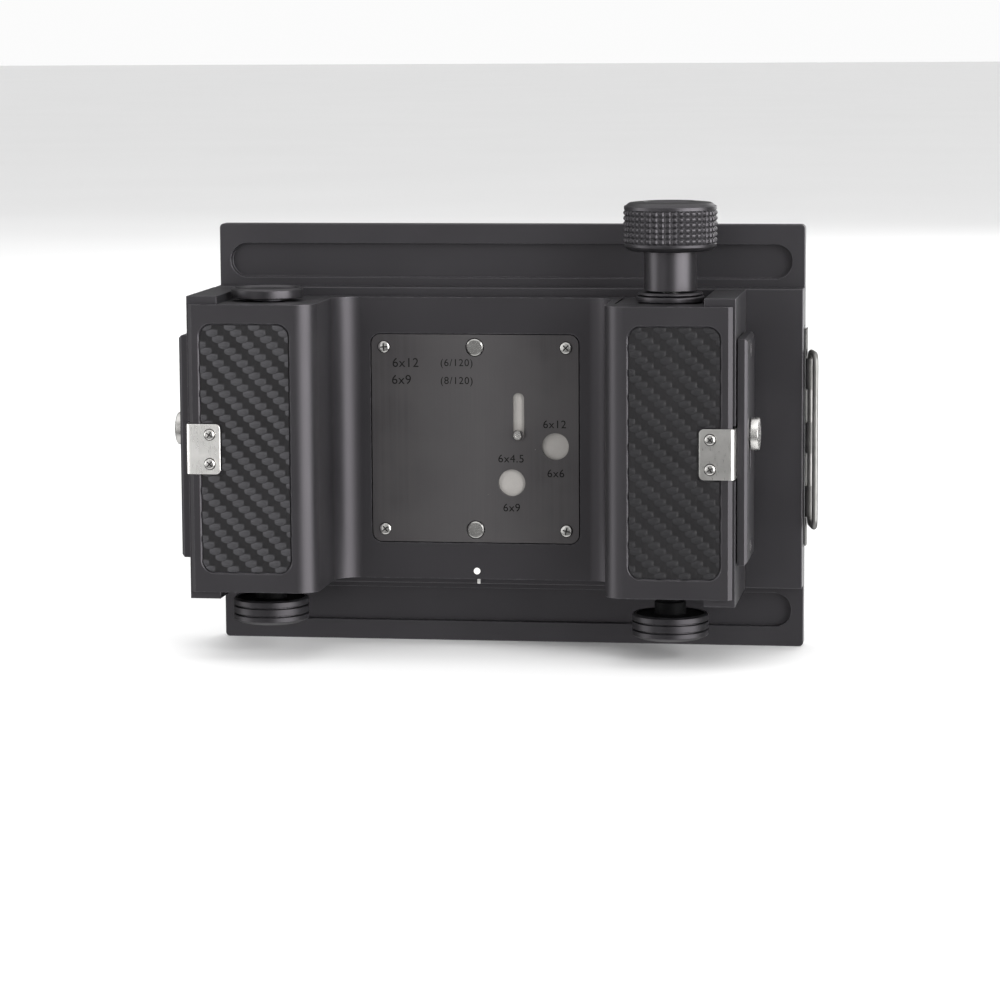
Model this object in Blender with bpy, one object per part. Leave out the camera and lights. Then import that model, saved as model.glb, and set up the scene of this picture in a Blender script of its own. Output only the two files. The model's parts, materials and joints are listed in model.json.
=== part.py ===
"""Multi-format 120 roll-film holder for the international 4x5 camera back.

Frame: X runs along the film, towards the dark slide's handle. Z is up. Y runs from the
back cover towards the lens. The origin is the middle of the film gate, on the front seat
face of the mount plate. All sizes below are millimetres; MM turns them into metres.
"""
import math

import bmesh
import bpy
from mathutils import Matrix, Vector

MM = 0.001
GAP = 0.3                       # air kept between neighbouring pieces

# Mount plate (international back standard height) and slide housing
PLATE_LEFT, PLATE_RIGHT = -76.2, 92.6
PLATE_HALF_HEIGHT = 60.3
PLATE_THICKNESS = 5.0
GROOVE_Z, GROOVE_WIDTH, GROOVE_DEPTH = 49.8, 9.7, 2.4
GROOVE_LEFT, GROOVE_RIGHT = -73.0, 89.1
WINDOW_HALF = (58.0, 30.0)      # opening in the mount plate, in front of the slide
GATE_HALF = (56.0, 28.0)        # picture size of the widest format
RECESS_LEFT = -63.0             # closed end of the dark slide's pocket
RECESS_HALF_Z = 31.8
RECESS_Y = -2.3
HOUSING_HALF_HEIGHT = 42.6
HOUSING_REAR = -12.0
FILM_PLANE = -4.8
BOSS_FRONT = -3.9
HOUSING_SCREWS = ((-70.0, 37.5), (86.0, 37.5), (-70.0, -37.5), (86.0, -37.5))
HOUSING_SCREW_SHANK, HOUSING_SCREW_HEAD = 1.5, 3.0
TRAP_X = (80.0, 88.0)           # the light trap's two felts, across the dark slide
TRAP_FRONT, TRAP_REAR = -1.4, -6.3
FILM_PATH_X = 68.5              # how far the rear bay of the housing reaches
OUTSIDE = 60.0                  # a cutter that runs right out of the piece ends here

# Film body
BODY_FRONT = HOUSING_REAR - GAP
BODY_HALF_X = 76.5
EAR_INNER_X = 67.9
EAR_HALF_Z = 42.5
EAR_REAR = -47.9
WALL_HALF_Z = 40.1
WALL_REAR = -39.0
LIP_HALF_Z = 38.2
CENTRE_REAR = -14.1
CHAMBER_X = (42.5, 71.0)
CHAMBER_HALF_Z = 33.25
CHAMBER_FRONT = -15.0
PASSAGE_X = (61.0, 68.0)
PATH_HALF_Z = 32.0
SPOOL_X, SPOOL_Y = 57.0, -31.0

# Back cover
COVER_HALF_X = 75.8
COVER_HALF_Z = 40.3
HUMP_REAR = -50.0
HUMP_SKIN = 1.8
HUMP_WALL_X = 40.2
HUMP_CREST_RADIUS = 6.0
VALLEY_REAR = -18.0
VALLEY_FRONT = -14.4
VALLEY_FILLET = 7.6
INNER_WALL_X = 42.2
FLANGE_FRONT = -39.3
FLANGE_HALF_Z = 38.5
COVER_BEVEL = 1.1
INSET_X, INSET_WIDTH, INSET_HEIGHT, INSET_RADIUS = 59.9, 25.4, 69.6, 3.6
INSET_DEPTH, INSET_SKIN = 0.8, 0.5

# Nameplate with its shutter and windows
NAMEPLATE_HALF, NAMEPLATE_RADIUS = 29.7, 2.6
NAMEPLATE_REAR, NAMEPLATE_THICKNESS = -18.1, 0.9
NAMEPLATE_POCKET_FLOOR = -16.1
SLOT_X, SLOT_WIDTH = 12.5, 3.2
SLOT_BOTTOM, SLOT_TOP = -0.3, 13.2
WINDOWS = ((23.0, -2.0), (10.5, -12.5))
WINDOW_RADIUS = 3.85
FILTER_RADIUS = 4.4
SHUTTER_TRAVEL = 10.0
SHUTTER_OUTLINE = ((5.5, -27.5), (15.5, -27.5), (15.5, -17.5), (28.2, -17.5), (28.2, 14.2),
                   (5.5, 14.2))
SHUTTER_Y = (-16.9, -16.4)
PLATE_SCREW = 26.1
STUD_RADIUS = 2.35

# Spool drive
KNOB_RADIUS = 13.1
KNOB_Z = (54.6, 68.2)
STEM_RADIUS = 6.2
STEM_FOOT = 43.4
SHAFT_RADIUS = 3.0
SLEEVE_RADIUS = 5.0
COLLAR_RADIUS = 8.9
SPOOL_RADIUS, SPOOL_CORE, SPOOL_HALF_Z = 12.6, 6.0, 32.6
PULL_RADIUS = 10.75
PULL_HOME = (-51.2, -44.2)
PULL_PARKED = 2.7               # how far the take-up pull knob stands out at rest
PULL_SHAFT = 3.4
PULL_NECK, PULL_NECK_TOP = 4.4, -40.7
PULL_GROOVE = 0.7
KEY_HALF = (0.75, 2.7)          # half thickness and half width of the drive key
CAP_RADIUS = 10.15
CAP_Z = (41.1, 44.3)

# Film rollers and pressure plate
ROLLER_X, ROLLER_Y, ROLLER_RADIUS = 64.0, -8.6, 2.9
PRESSURE_HALF = (57.5, 31.0)
PRESSURE_Y = (-6.8, -5.3)
SPRING_X = (46.75, 56.75)
SPRING_HALF_Z, SPRING_BOW, SPRING_GAUGE = 24.0, 3.0, 0.4
ROLLER_PIN, ROLLER_HALF_Z, PIN_HALF_Z = 1.0, 31.7, 34.0

# Cover catches
SIDE_PLATE_X = (76.8, 79.6)
SIDE_PLATE_HALF_Z = 31.3
SIDE_PLATE_Y = (-45.0, -20.0)
SIDE_PLATE_BEVEL = 0.8
BUTTON_Y, BUTTON_Z, BUTTON_RADIUS = -35.4, 4.2, 4.6
BUTTON_HEIGHT = 2.7
SLIDER_HALF_Z = 8.2
LATCH_TRAVEL = 8.4
SIDE_SCREW_Y, SIDE_SCREW_Z = -32.5, 27.5
CLIP_HALF_Z = 7.0
CLIP_INNER_X = 66.8
CLIP_GAUGE = 0.5
CLIP_SCREW = (69.8, 4.1)
CLIP_TIP = -35.0
CLIP_EYE_Y, CLIP_EYE_Z = (-42.0, -38.0), (-2.0, 5.0)
CORNER_SCREW = 0.85             # shank of the nameplate's corner screws

# Dark slide
SLIDE_Y = (-3.5, -2.7)
SLIDE_HALF_Z = 31.0
SLIDE_LEFT = -61.5
HANDLE_X, HANDLE_Y = (92.9, 93.4), (-6.2, -1.2)
BAIL_X, BAIL_Y = 94.35, -5.6
BAIL_HALF_Z = 24.45
BAIL_REACH = 10.5
BAIL_WIRE = 0.85
BAIL_CORNER = 2.2
BAIL_LEAN = 11.2                # degrees between the resting bail and the rear direction
KNUCKLE_Z, KNUCKLE_HALF = 18.2, 4.4
KNUCKLE_BORE, KNUCKLE_RADIUS = 1.1, 1.45

ROUND = 24                      # sides of a large turned part
SMALL = 12                      # sides of a small turned part

COLOURS = {
    "black_anodised": ((0.045, 0.042, 0.045), 0.42, 0.75),
    "black_satin": ((0.035, 0.033, 0.036), 0.5, 0.6),
    "leatherette": ((0.02, 0.02, 0.022), 0.6, 0.0),
    "brushed_steel": ((0.22, 0.21, 0.21), 0.38, 0.9),
    "bright_steel": ((0.78, 0.77, 0.74), 0.22, 1.0),
    "shutter_white": ((0.62, 0.6, 0.57), 0.5, 0.0),
    "red_filter": ((0.45, 0.01, 0.01), 0.1, 0.0),
    "black_felt": ((0.012, 0.012, 0.013), 0.95, 0.0),
    "spool_plastic": ((0.02, 0.02, 0.02), 0.4, 0.0),
    "slide_sheet": ((0.03, 0.03, 0.032), 0.35, 0.7),
}


# ---------------------------------------------------------------- helpers

def clear_scene():
    for obj in list(bpy.data.objects):
        bpy.data.objects.remove(obj, do_unlink=True)


def material(name):
    found = bpy.data.materials.get(name)
    if found:
        return found
    colour, roughness, metallic = COLOURS[name]
    made = bpy.data.materials.new(name)
    made.use_nodes = True
    shader = made.node_tree.nodes["Principled BSDF"]
    shader.inputs["Base Color"].default_value = (*colour, 1.0)
    shader.inputs["Roughness"].default_value = roughness
    shader.inputs["Metallic"].default_value = metallic
    return made


def pivot(name, place=(0.0, 0.0, 0.0), parent=None):
    """An empty on a joint's axis; place is in the parent's coordinates."""
    empty = bpy.data.objects.new(name, None)
    empty.empty_display_size = 0.01
    bpy.context.scene.collection.objects.link(empty)
    empty.parent = parent
    empty.location = Vector(place) * MM
    return empty


def box(low, high):
    shape = bmesh.new()
    bmesh.ops.create_cube(shape, size=1.0)
    low, high = Vector(low), Vector(high)
    for vert in shape.verts:
        for axis in range(3):
            vert.co[axis] = (high if vert.co[axis] > 0 else low)[axis]
    return shape


def rounded(centre, half_width, half_height, radius, steps=5):
    """Outline of a rectangle with round corners, anticlockwise."""
    points = []
    for quarter, (sx, sy) in enumerate(((1, 1), (-1, 1), (-1, -1), (1, -1))):
        mid = (centre[0] + sx * (half_width - radius), centre[1] + sy * (half_height - radius))
        for step in range(steps + 1):
            angle = math.radians(90.0 * (quarter + step / steps))
            points.append((mid[0] + radius * math.cos(angle), mid[1] + radius * math.sin(angle)))
    return tidy_outline(points)


def tidy_outline(points):
    """The outline without points that fall on their neighbour."""
    kept = []
    for point in points:
        if not kept or math.dist(point, kept[-1]) > 1e-4:
            kept.append(point)
    if math.dist(kept[0], kept[-1]) < 1e-4:
        kept.pop()
    return kept


def prism(outline, axis, low, high):
    """The outline pushed from low to high along axis (its points are the other two)."""
    shape = bmesh.new()
    place = {
        "X": lambda u, v, w: (w, u, v),
        "Y": lambda u, v, w: (u, w, v),
        "Z": lambda u, v, w: (u, v, w),
    }[axis]
    rings = [[shape.verts.new(place(u, v, w)) for u, v in outline] for w in (low, high)]
    shape.faces.new(rings[0])
    shape.faces.new(rings[1])
    count = len(outline)
    for i in range(count):
        j = (i + 1) % count
        shape.faces.new((rings[0][i], rings[0][j], rings[1][j], rings[1][i]))
    bmesh.ops.recalc_face_normals(shape, faces=shape.faces)
    return shape


def lathe(profile, axis, centre, segments):
    """A solid of revolution: profile holds (radius, height) from one end to the other."""
    shape = bmesh.new()
    turn = {"X": Matrix.Rotation(math.radians(90.0), 4, "Y"),
            "Y": Matrix.Rotation(math.radians(-90.0), 4, "X"),
            "Z": Matrix.Identity(4)}[axis]
    rings = []
    for radius, height in profile:
        if radius < 1e-6:
            rings.append([shape.verts.new((0.0, 0.0, height))])
            continue
        ring = []
        for k in range(segments):
            angle = 2.0 * math.pi * k / segments
            ring.append(shape.verts.new((radius * math.cos(angle), radius * math.sin(angle), height)))
        rings.append(ring)
    for first, second in zip(rings, rings[1:]):
        for k in range(segments):
            n = (k + 1) % segments
            if len(first) == 1:
                shape.faces.new((first[0], second[n], second[k]))
            elif len(second) == 1:
                shape.faces.new((first[k], first[n], second[0]))
            else:
                shape.faces.new((first[k], first[n], second[n], second[k]))
    for ring in (rings[0], rings[-1]):
        if len(ring) > 1:
            shape.faces.new(ring)
    bmesh.ops.recalc_face_normals(shape, faces=shape.faces)
    bmesh.ops.transform(shape, matrix=Matrix.Translation(centre) @ turn, verts=shape.verts)
    return shape


def tube(profile_outer, bore, axis, centre, segments):
    """A turned ring: the outer profile closed by a straight bore of the given radius."""
    shape = bmesh.new()
    low, high = profile_outer[0][1], profile_outer[-1][1]
    loop = list(profile_outer) + [(bore, high), (bore, low)]
    turn = {"X": Matrix.Rotation(math.radians(90.0), 4, "Y"),
            "Y": Matrix.Rotation(math.radians(-90.0), 4, "X"),
            "Z": Matrix.Identity(4)}[axis]
    rings = []
    for radius, height in loop:
        rings.append([shape.verts.new((radius * math.cos(2 * math.pi * k / segments),
                                       radius * math.sin(2 * math.pi * k / segments), height))
                      for k in range(segments)])
    for index, first in enumerate(rings):
        second = rings[(index + 1) % len(rings)]
        for k in range(segments):
            n = (k + 1) % segments
            shape.faces.new((first[k], first[n], second[n], second[k]))
    bmesh.ops.recalc_face_normals(shape, faces=shape.faces)
    bmesh.ops.transform(shape, matrix=Matrix.Translation(centre) @ turn, verts=shape.verts)
    return shape


def cylinder(radius, axis, centre, low, high, segments=SMALL):
    return lathe([(radius, low), (radius, high)], axis, centre, segments)


def mirrored(shape):
    """The same shape on the other side of X = 0."""
    for vert in shape.verts:
        vert.co.x = -vert.co.x
    bmesh.ops.reverse_faces(shape, faces=shape.faces)
    return shape


def on_side(shape, side):
    return shape if side > 0 else mirrored(shape)


def link_mesh(name, shape, parent):
    """Scale a millimetre bmesh to metres and link it, seen from its parent's origin."""
    origin = world_place(parent)
    for vert in shape.verts:
        vert.co = vert.co * MM - origin
    mesh = bpy.data.meshes.new(name)
    shape.to_mesh(mesh)
    shape.free()
    obj = bpy.data.objects.new(name, mesh)
    bpy.context.scene.collection.objects.link(obj)
    obj.parent = parent
    return obj


def world_place(parent):
    place = Vector((0.0, 0.0, 0.0))
    while parent is not None:
        place += parent.location
        parent = parent.parent
    return place


def piece(name, shape, finish, parent, cuts=(), adds=()):
    """One sub-part: a shape with shapes added to it and then cut from it."""
    obj = link_mesh(name, shape, parent)
    obj.data.materials.append(material(finish))
    for kind, shapes in (("UNION", adds), ("DIFFERENCE", cuts)):
        for index, tool_shape in enumerate(shapes):
            tool = link_mesh(f"{name}_{kind.lower()}_{index}", tool_shape, parent)
            tool.hide_render = True
            tool.display_type = "WIRE"
            step = obj.modifiers.new(tool.name, "BOOLEAN")
            step.operation = kind
            step.object = tool
    obj.data.shade_smooth()
    obj.data.set_sharp_from_angle(angle=math.radians(35.0))
    return obj


def screw_hole(centre, axis, head_radius):
    """Clearance for a screw: its shank, and its head above the seat at centre."""
    shank = 0.55 * head_radius + GAP
    profile = [(shank, -3.0), (shank, -GAP), (head_radius + GAP, -GAP), (head_radius + GAP, 3.0)]
    return lathe(profile, axis, centre, SMALL)


def arc(centre, radius, start_deg, end_deg, steps):
    points = []
    for step in range(steps + 1):
        angle = math.radians(start_deg + (end_deg - start_deg) * step / steps)
        points.append((centre[0] + radius * math.cos(angle), centre[1] + radius * math.sin(angle)))
    return points


# ---------------------------------------------------------------- mount plate and housing

def groove_cut(z):
    middle = ((GROOVE_LEFT + GROOVE_RIGHT) / 2, z)
    outline = rounded(middle, (GROOVE_RIGHT - GROOVE_LEFT) / 2, GROOVE_WIDTH / 2,
                      GROOVE_WIDTH / 2 - 0.05)
    return prism(outline, "Y", -PLATE_THICKNESS - 1.0, -PLATE_THICKNESS + GROOVE_DEPTH)


def build_mount_plate(parent):
    cuts = [groove_cut(GROOVE_Z), groove_cut(-GROOVE_Z)]
    cuts.append(prism(rounded((0.0, 0.0), *WINDOW_HALF, 2.0), "Y", -9.0, 1.0))
    cuts.append(box((RECESS_LEFT, -9.0, -RECESS_HALF_Z),
                    (PLATE_RIGHT + 1.0, RECESS_Y, RECESS_HALF_Z)))
    cuts.append(box((TRAP_X[0], -9.0, -RECESS_HALF_Z + 1.0),
                    (TRAP_X[1], TRAP_FRONT + GAP, RECESS_HALF_Z - 1.0)))
    for x, z in HOUSING_SCREWS:
        shank, head = HOUSING_SCREW_SHANK + GAP, HOUSING_SCREW_HEAD + GAP
        hole = [(shank, -6.0), (shank, -2.4), (head, -0.2), (head, 1.0)]
        cuts.append(lathe(hole, "Y", (x, 0.0, z), SMALL))
    plate = prism(rounded(((PLATE_LEFT + PLATE_RIGHT) / 2, 0.0),
                          (PLATE_RIGHT - PLATE_LEFT) / 2, PLATE_HALF_HEIGHT, 1.2, 2),
                  "Y", -PLATE_THICKNESS, 0.0)
    piece("mount_plate", plate, "black_anodised", parent, cuts)
    for number, (x, z) in enumerate(HOUSING_SCREWS, 1):
        profile = [(HOUSING_SCREW_SHANK, -9.0), (HOUSING_SCREW_SHANK, -2.4),
                   (HOUSING_SCREW_HEAD, -0.4), (HOUSING_SCREW_HEAD, -0.1)]
        shape = lathe(profile, "Y", (x, 0.0, z), SMALL)
        piece(f"housing_screw_{number}", shape, "bright_steel", parent)


def build_housing(parent):
    """The slab behind the plate: film gate, roller bay and the rear guide of the slide."""
    slab = box((PLATE_LEFT, HOUSING_REAR, -HOUSING_HALF_HEIGHT),
               (PLATE_RIGHT, -PLATE_THICKNESS - GAP, HOUSING_HALF_HEIGHT))
    boss = box((RECESS_LEFT + GAP, -PLATE_THICKNESS - 1.0, -RECESS_HALF_Z + GAP),
               (PLATE_RIGHT, BOSS_FRONT, RECESS_HALF_Z - GAP))
    cuts = [prism(rounded((0.0, 0.0), *GATE_HALF, 1.0, 3), "Y", -20.0, 0.0),
            box((-FILM_PATH_X, -20.0, -PATH_HALF_Z), (FILM_PATH_X, FILM_PLANE, PATH_HALF_Z)),
            box((TRAP_X[0] - GAP, TRAP_REAR - GAP, -RECESS_HALF_Z + 1.0),
                (TRAP_X[1] + GAP, 0.0, RECESS_HALF_Z - 1.0))]
    for side in (-1, 1):
        for end in (-1, 1):
            low, high = sorted((end * (PATH_HALF_Z - 2.0), end * (PIN_HALF_Z + 0.5)))
            cuts.append(cylinder(ROLLER_PIN + GAP, "Z", (side * ROLLER_X, ROLLER_Y, 0.0),
                                 low, high))
    for x, z in HOUSING_SCREWS:
        cuts.append(cylinder(HOUSING_SCREW_SHANK + GAP, "Y", (x, 0.0, z), -9.5, 0.0))
    piece("slide_housing", slab, "black_anodised", parent, cuts, adds=[boss])


def build_light_trap(parent):
    reach = RECESS_HALF_Z - 1.0 - GAP
    front = box((TRAP_X[0] + GAP, SLIDE_Y[1] + GAP, -reach), (TRAP_X[1] - GAP, TRAP_FRONT, reach))
    piece("light_trap_front", front, "black_felt", parent)
    rear = box((TRAP_X[0], TRAP_REAR, -reach), (TRAP_X[1], SLIDE_Y[0] - GAP, reach))
    piece("light_trap_rear", rear, "black_felt", parent)


# ---------------------------------------------------------------- film body

def build_film_body(parent):
    body = box((-BODY_HALF_X, EAR_REAR, -EAR_HALF_Z), (BODY_HALF_X, BODY_FRONT, EAR_HALF_Z))
    far = OUTSIDE
    cuts = []
    for end in (-1, 1):
        low, high = sorted((end * WALL_HALF_Z, end * far))
        cuts.append(box((-EAR_INNER_X, -far, low), (EAR_INNER_X, 0.0, high)))
        low, high = sorted((end * LIP_HALF_Z, end * far))
        cuts.append(box((-EAR_INNER_X, -far, low), (EAR_INNER_X, WALL_REAR, high)))
    cuts.append(box((-CHAMBER_X[0], -far, -far), (CHAMBER_X[0], CENTRE_REAR, far)))
    cuts.append(box((-CHAMBER_X[0], -far, -CHAMBER_HALF_Z), (CHAMBER_X[0], 0.0, CHAMBER_HALF_Z)))
    for side in (-1, 1):
        chamber = box((CHAMBER_X[0] - 1.0, -far, -CHAMBER_HALF_Z),
                      (CHAMBER_X[1], CHAMBER_FRONT, CHAMBER_HALF_Z))
        passage = box((PASSAGE_X[0], CHAMBER_FRONT - 1.0, -PATH_HALF_Z),
                      (PASSAGE_X[1], 0.0, PATH_HALF_Z))
        notch = box((BODY_HALF_X - 1.1, -far, -CLIP_HALF_Z - 0.6),
                    (far * 2, -33.0, CLIP_HALF_Z + 0.6))
        cuts += [on_side(shape, side) for shape in (chamber, passage, notch)]
    cuts.append(cylinder(SLEEVE_RADIUS + GAP, "Z", (SPOOL_X, SPOOL_Y, 0.0), 30.0, 50.0))
    cuts.append(cylinder(SHAFT_RADIUS + GAP, "Z", (-SPOOL_X, SPOOL_Y, 0.0), 30.0, 50.0))
    for side in (-1, 1):
        cuts.append(cylinder(PULL_SHAFT + GAP, "Z", (side * SPOOL_X, SPOOL_Y, 0.0), -50.0, -30.0))
        for end in (-1, 1):
            hole = cylinder(1.0 + GAP, "X", (0.0, SIDE_SCREW_Y, end * SIDE_SCREW_Z), 74.4, 80.0)
            cuts.append(on_side(hole, side))
    piece("film_body", body, "black_anodised", parent, cuts)


def build_rollers(parents):
    for side, name in ((-1, "left"), (1, "right")):
        half = [(ROLLER_RADIUS - 0.35, 28.4), (ROLLER_RADIUS, 29.0),
                (ROLLER_RADIUS, ROLLER_HALF_Z), (ROLLER_PIN, ROLLER_HALF_Z),
                (ROLLER_PIN, PIN_HALF_Z)]
        profile = [(radius, -height) for radius, height in reversed(half)] + half
        shape = lathe(profile, "Z", (side * ROLLER_X, ROLLER_Y, 0.0), SMALL)
        piece(f"film_roller_{name}", shape, "bright_steel", parents[name])


def build_pressure_plate(parent, fixed):
    low, high = PRESSURE_Y
    plate = prism(rounded((0.0, 0.0), *PRESSURE_HALF, 2.0, 3), "Y", low, high)
    cuts = [cylinder(WINDOW_RADIUS + 0.6, "Y", (x, 0.0, z), -9.0, 0.0, 20) for x, z in WINDOWS]
    piece("pressure_plate", plate, "black_satin", parent, cuts)
    for side, name in ((-1, "left"), (1, "right")):
        upper, lower = [], []
        for step in range(-6, 7):
            reach = step / 6
            y = BODY_FRONT + GAP + SPRING_BOW * reach ** 2
            upper.append((y, SPRING_HALF_Z * reach))
            lower.append((y + SPRING_GAUGE, SPRING_HALF_Z * reach))
        shape = prism(upper + lower[::-1], "X", *SPRING_X)
        piece(f"pressure_spring_{name}", on_side(shape, side), "bright_steel", fixed)


# ---------------------------------------------------------------- back cover

def cover_outline():
    """Half of the cover's section (X, Y), from the outer edge to the middle."""
    crest = (HUMP_WALL_X + HUMP_CREST_RADIUS, HUMP_REAR + HUMP_CREST_RADIUS)
    fillet = (HUMP_WALL_X - VALLEY_FILLET, VALLEY_REAR - VALLEY_FILLET)
    outer = [(COVER_HALF_X, HUMP_REAR + HUMP_SKIN), (COVER_HALF_X, HUMP_REAR + COVER_BEVEL),
             (COVER_HALF_X - COVER_BEVEL, HUMP_REAR)]
    outer += arc(crest, HUMP_CREST_RADIUS, 270.0, 180.0, 6)
    outer += arc(fillet, VALLEY_FILLET, 0.0, 90.0, 6)
    inner = [(EAR_INNER_X - GAP, HUMP_REAR + HUMP_SKIN), (EAR_INNER_X - GAP, FLANGE_FRONT),
             (INNER_WALL_X, FLANGE_FRONT), (INNER_WALL_X, VALLEY_FRONT)]
    return outer, inner


def cover_section():
    outer, inner = cover_outline()
    left = [(-x, y) for x, y in reversed(outer)]
    left_inner = [(-x, y) for x, y in inner]
    return tidy_outline(outer + left + left_inner + inner[::-1])


def inset_outline(side, grow):
    return rounded((side * INSET_X, 0.0), INSET_WIDTH / 2 + grow, INSET_HEIGHT / 2 + grow,
                   INSET_RADIUS + grow, 4)


def build_cover(parent):
    shape = prism(cover_section(), "Z", -COVER_HALF_Z, COVER_HALF_Z)
    cuts = []
    for side in (-1, 1):
        pocket = box((INNER_WALL_X, HUMP_REAR + HUMP_SKIN, -FLANGE_HALF_Z),
                     (EAR_INNER_X + 4.0, 0.0, FLANGE_HALF_Z))
        cuts.append(on_side(pocket, side))
        cuts.append(prism(inset_outline(side, 0.0), "Y", -OUTSIDE, HUMP_REAR + INSET_DEPTH))
        for end in (-1, 1):
            centre = (side * CLIP_SCREW[0], HUMP_REAR, end * CLIP_SCREW[1])
            cuts.append(cylinder(1.0, "Y", centre, -5.0, 1.4, SMALL))
    pocket = rounded((0.0, 0.0), NAMEPLATE_HALF + GAP, NAMEPLATE_HALF + GAP,
                     NAMEPLATE_RADIUS + GAP, 4)
    cuts.append(prism(pocket, "Y", -30.0, NAMEPLATE_POCKET_FLOOR))
    for x, z in WINDOWS:
        cuts.append(cylinder(2.9, "Y", (x, 0.0, z), -20.0, -10.0, 20))
        cuts.append(cylinder(FILTER_RADIUS + GAP, "Y", (x, 0.0, z), -15.2, -10.0, 20))
    for end in (-1, 1):
        cuts.append(cylinder(1.5 + GAP, "Y", (0.0, 0.0, end * PLATE_SCREW), -20.0, -10.0))
        for side in (-1, 1):
            centre = (side * PLATE_SCREW, 0.0, end * PLATE_SCREW)
            cuts.append(cylinder(CORNER_SCREW + GAP, "Y", centre, -20.0, -14.9))
    piece("back_cover", shape, "black_anodised", parent, cuts)


def build_leatherette(parent):
    front = HUMP_REAR + INSET_DEPTH - GAP
    for side, name in ((-1, "left"), (1, "right")):
        skin = prism(inset_outline(side, -0.25), "Y", front - INSET_SKIN, front)
        hole = box((CLIP_INNER_X - GAP, -OUTSIDE, -CLIP_HALF_Z - GAP),
                   (90.0, -40.0, CLIP_HALF_Z + GAP))
        piece(f"leatherette_{name}", skin, "leatherette", parent, [on_side(hole, side)])


def build_clips(parent):
    """Angle clips: the short leg is screwed to the cover, the long one goes into the catch."""
    rear = HUMP_REAR - GAP
    outer, inner = COVER_HALF_X + GAP + CLIP_GAUGE, COVER_HALF_X + GAP
    outline = [(CLIP_INNER_X, rear - CLIP_GAUGE), (outer - 0.7, rear - CLIP_GAUGE),
               (outer, rear - CLIP_GAUGE + 0.7), (outer, CLIP_TIP), (inner, CLIP_TIP),
               (inner, rear), (CLIP_INNER_X, rear)]
    for side, name in ((-1, "left"), (1, "right")):
        plate = prism(outline, "Z", -CLIP_HALF_Z, CLIP_HALF_Z)
        cuts = [cylinder(0.6 + GAP, "Y", (CLIP_SCREW[0], 0.0, end * CLIP_SCREW[1]), -60.0, -45.0)
                for end in (-1, 1)]
        cuts.append(box((inner - 1.0, CLIP_EYE_Y[0], CLIP_EYE_Z[0]),
                        (outer + 1.0, CLIP_EYE_Y[1], CLIP_EYE_Z[1])))
        piece(f"catch_clip_{name}", on_side(plate, side), "bright_steel", parent,
              [on_side(cut, side) for cut in cuts])
        for end, level in ((1, "upper"), (-1, "lower")):
            seat = rear - CLIP_GAUGE - GAP
            centre = (side * CLIP_SCREW[0], seat, end * CLIP_SCREW[1])
            profile = [(0.6, 1.9), (0.6, 0.0), (1.45, 0.0), (1.45, -0.35), (1.0, -0.7)]
            piece(f"clip_screw_{name}_{level}", lathe(profile, "Y", centre, SMALL),
                  "bright_steel", parent)


def build_nameplate(parent):
    outline = rounded((0.0, 0.0), NAMEPLATE_HALF, NAMEPLATE_HALF, NAMEPLATE_RADIUS, 4)
    front = NAMEPLATE_REAR + NAMEPLATE_THICKNESS
    plate = prism(outline, "Y", NAMEPLATE_REAR, front)
    slot = rounded((SLOT_X, (SLOT_BOTTOM + SLOT_TOP) / 2), SLOT_WIDTH / 2,
                   (SLOT_TOP - SLOT_BOTTOM) / 2, SLOT_WIDTH / 2 - 0.01, 5)
    cuts = [prism(slot, "Y", -25.0, -10.0)]
    cuts += [cylinder(WINDOW_RADIUS, "Y", (x, 0.0, z), -25.0, -10.0, 24) for x, z in WINDOWS]
    for end in (-1, 1):
        cuts.append(cylinder(STUD_RADIUS + GAP, "Y", (0.0, 0.0, end * PLATE_SCREW), -25.0, -10.0, 20))
        for side in (-1, 1):
            centre = (side * PLATE_SCREW, 0.0, end * PLATE_SCREW)
            cuts.append(cylinder(CORNER_SCREW + GAP, "Y", centre, -25.0, -10.0))
    piece("nameplate", plate, "brushed_steel", parent, cuts)
    for end, level in ((1, "upper"), (-1, "lower")):
        for side, name in ((-1, "left"), (1, "right")):
            centre = (side * PLATE_SCREW, NAMEPLATE_REAR - 0.15, end * PLATE_SCREW)
            profile = [(CORNER_SCREW, 2.9), (CORNER_SCREW, 0.0), (1.65, 0.0), (1.65, -0.3),
                       (1.1, -0.6)]
            piece(f"nameplate_screw_{level}_{name}", lathe(profile, "Y", centre, SMALL),
                  "bright_steel", parent)
        profile = [(1.5, -8.2), (1.5, -16.5), (STUD_RADIUS, -16.5), (STUD_RADIUS, -18.0),
                   (STUD_RADIUS - 0.4, -18.4)]
        stud = lathe(profile, "Y", (0.0, 0.0, end * PLATE_SCREW), 20)
        piece(f"pressure_stud_{level}", stud, "bright_steel", parent)
    for number, (x, z) in enumerate(WINDOWS, 1):
        disc = cylinder(FILTER_RADIUS, "Y", (x, 0.0, z), -14.9, -14.45, 20)
        piece(f"window_filter_{number}", disc, "red_filter", parent)


def build_shutter(parent):
    sheet = prism(SHUTTER_OUTLINE, "Y", *SHUTTER_Y)
    cuts = [cylinder(WINDOW_RADIUS + 0.3, "Y", (x, 0.0, z - SHUTTER_TRAVEL), -25.0, -10.0, 20)
            for x, z in WINDOWS]
    centre = (SLOT_X, 0.0, SLOT_BOTTOM + SLOT_WIDTH / 2)
    cuts.append(cylinder(0.6 + GAP, "Y", centre, -25.0, -10.0, 12))
    piece("shutter_plate", sheet, "shutter_white", parent, cuts)
    profile = [(0.6, -16.45), (0.6, -17.2), (1.1, -17.2), (1.1, -18.6), (1.55, -18.9),
               (1.55, -20.4), (1.1, -20.9)]
    piece("shutter_pin", lathe(profile, "Y", centre, SMALL), "bright_steel", parent)


# ---------------------------------------------------------------- spool drive

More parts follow.
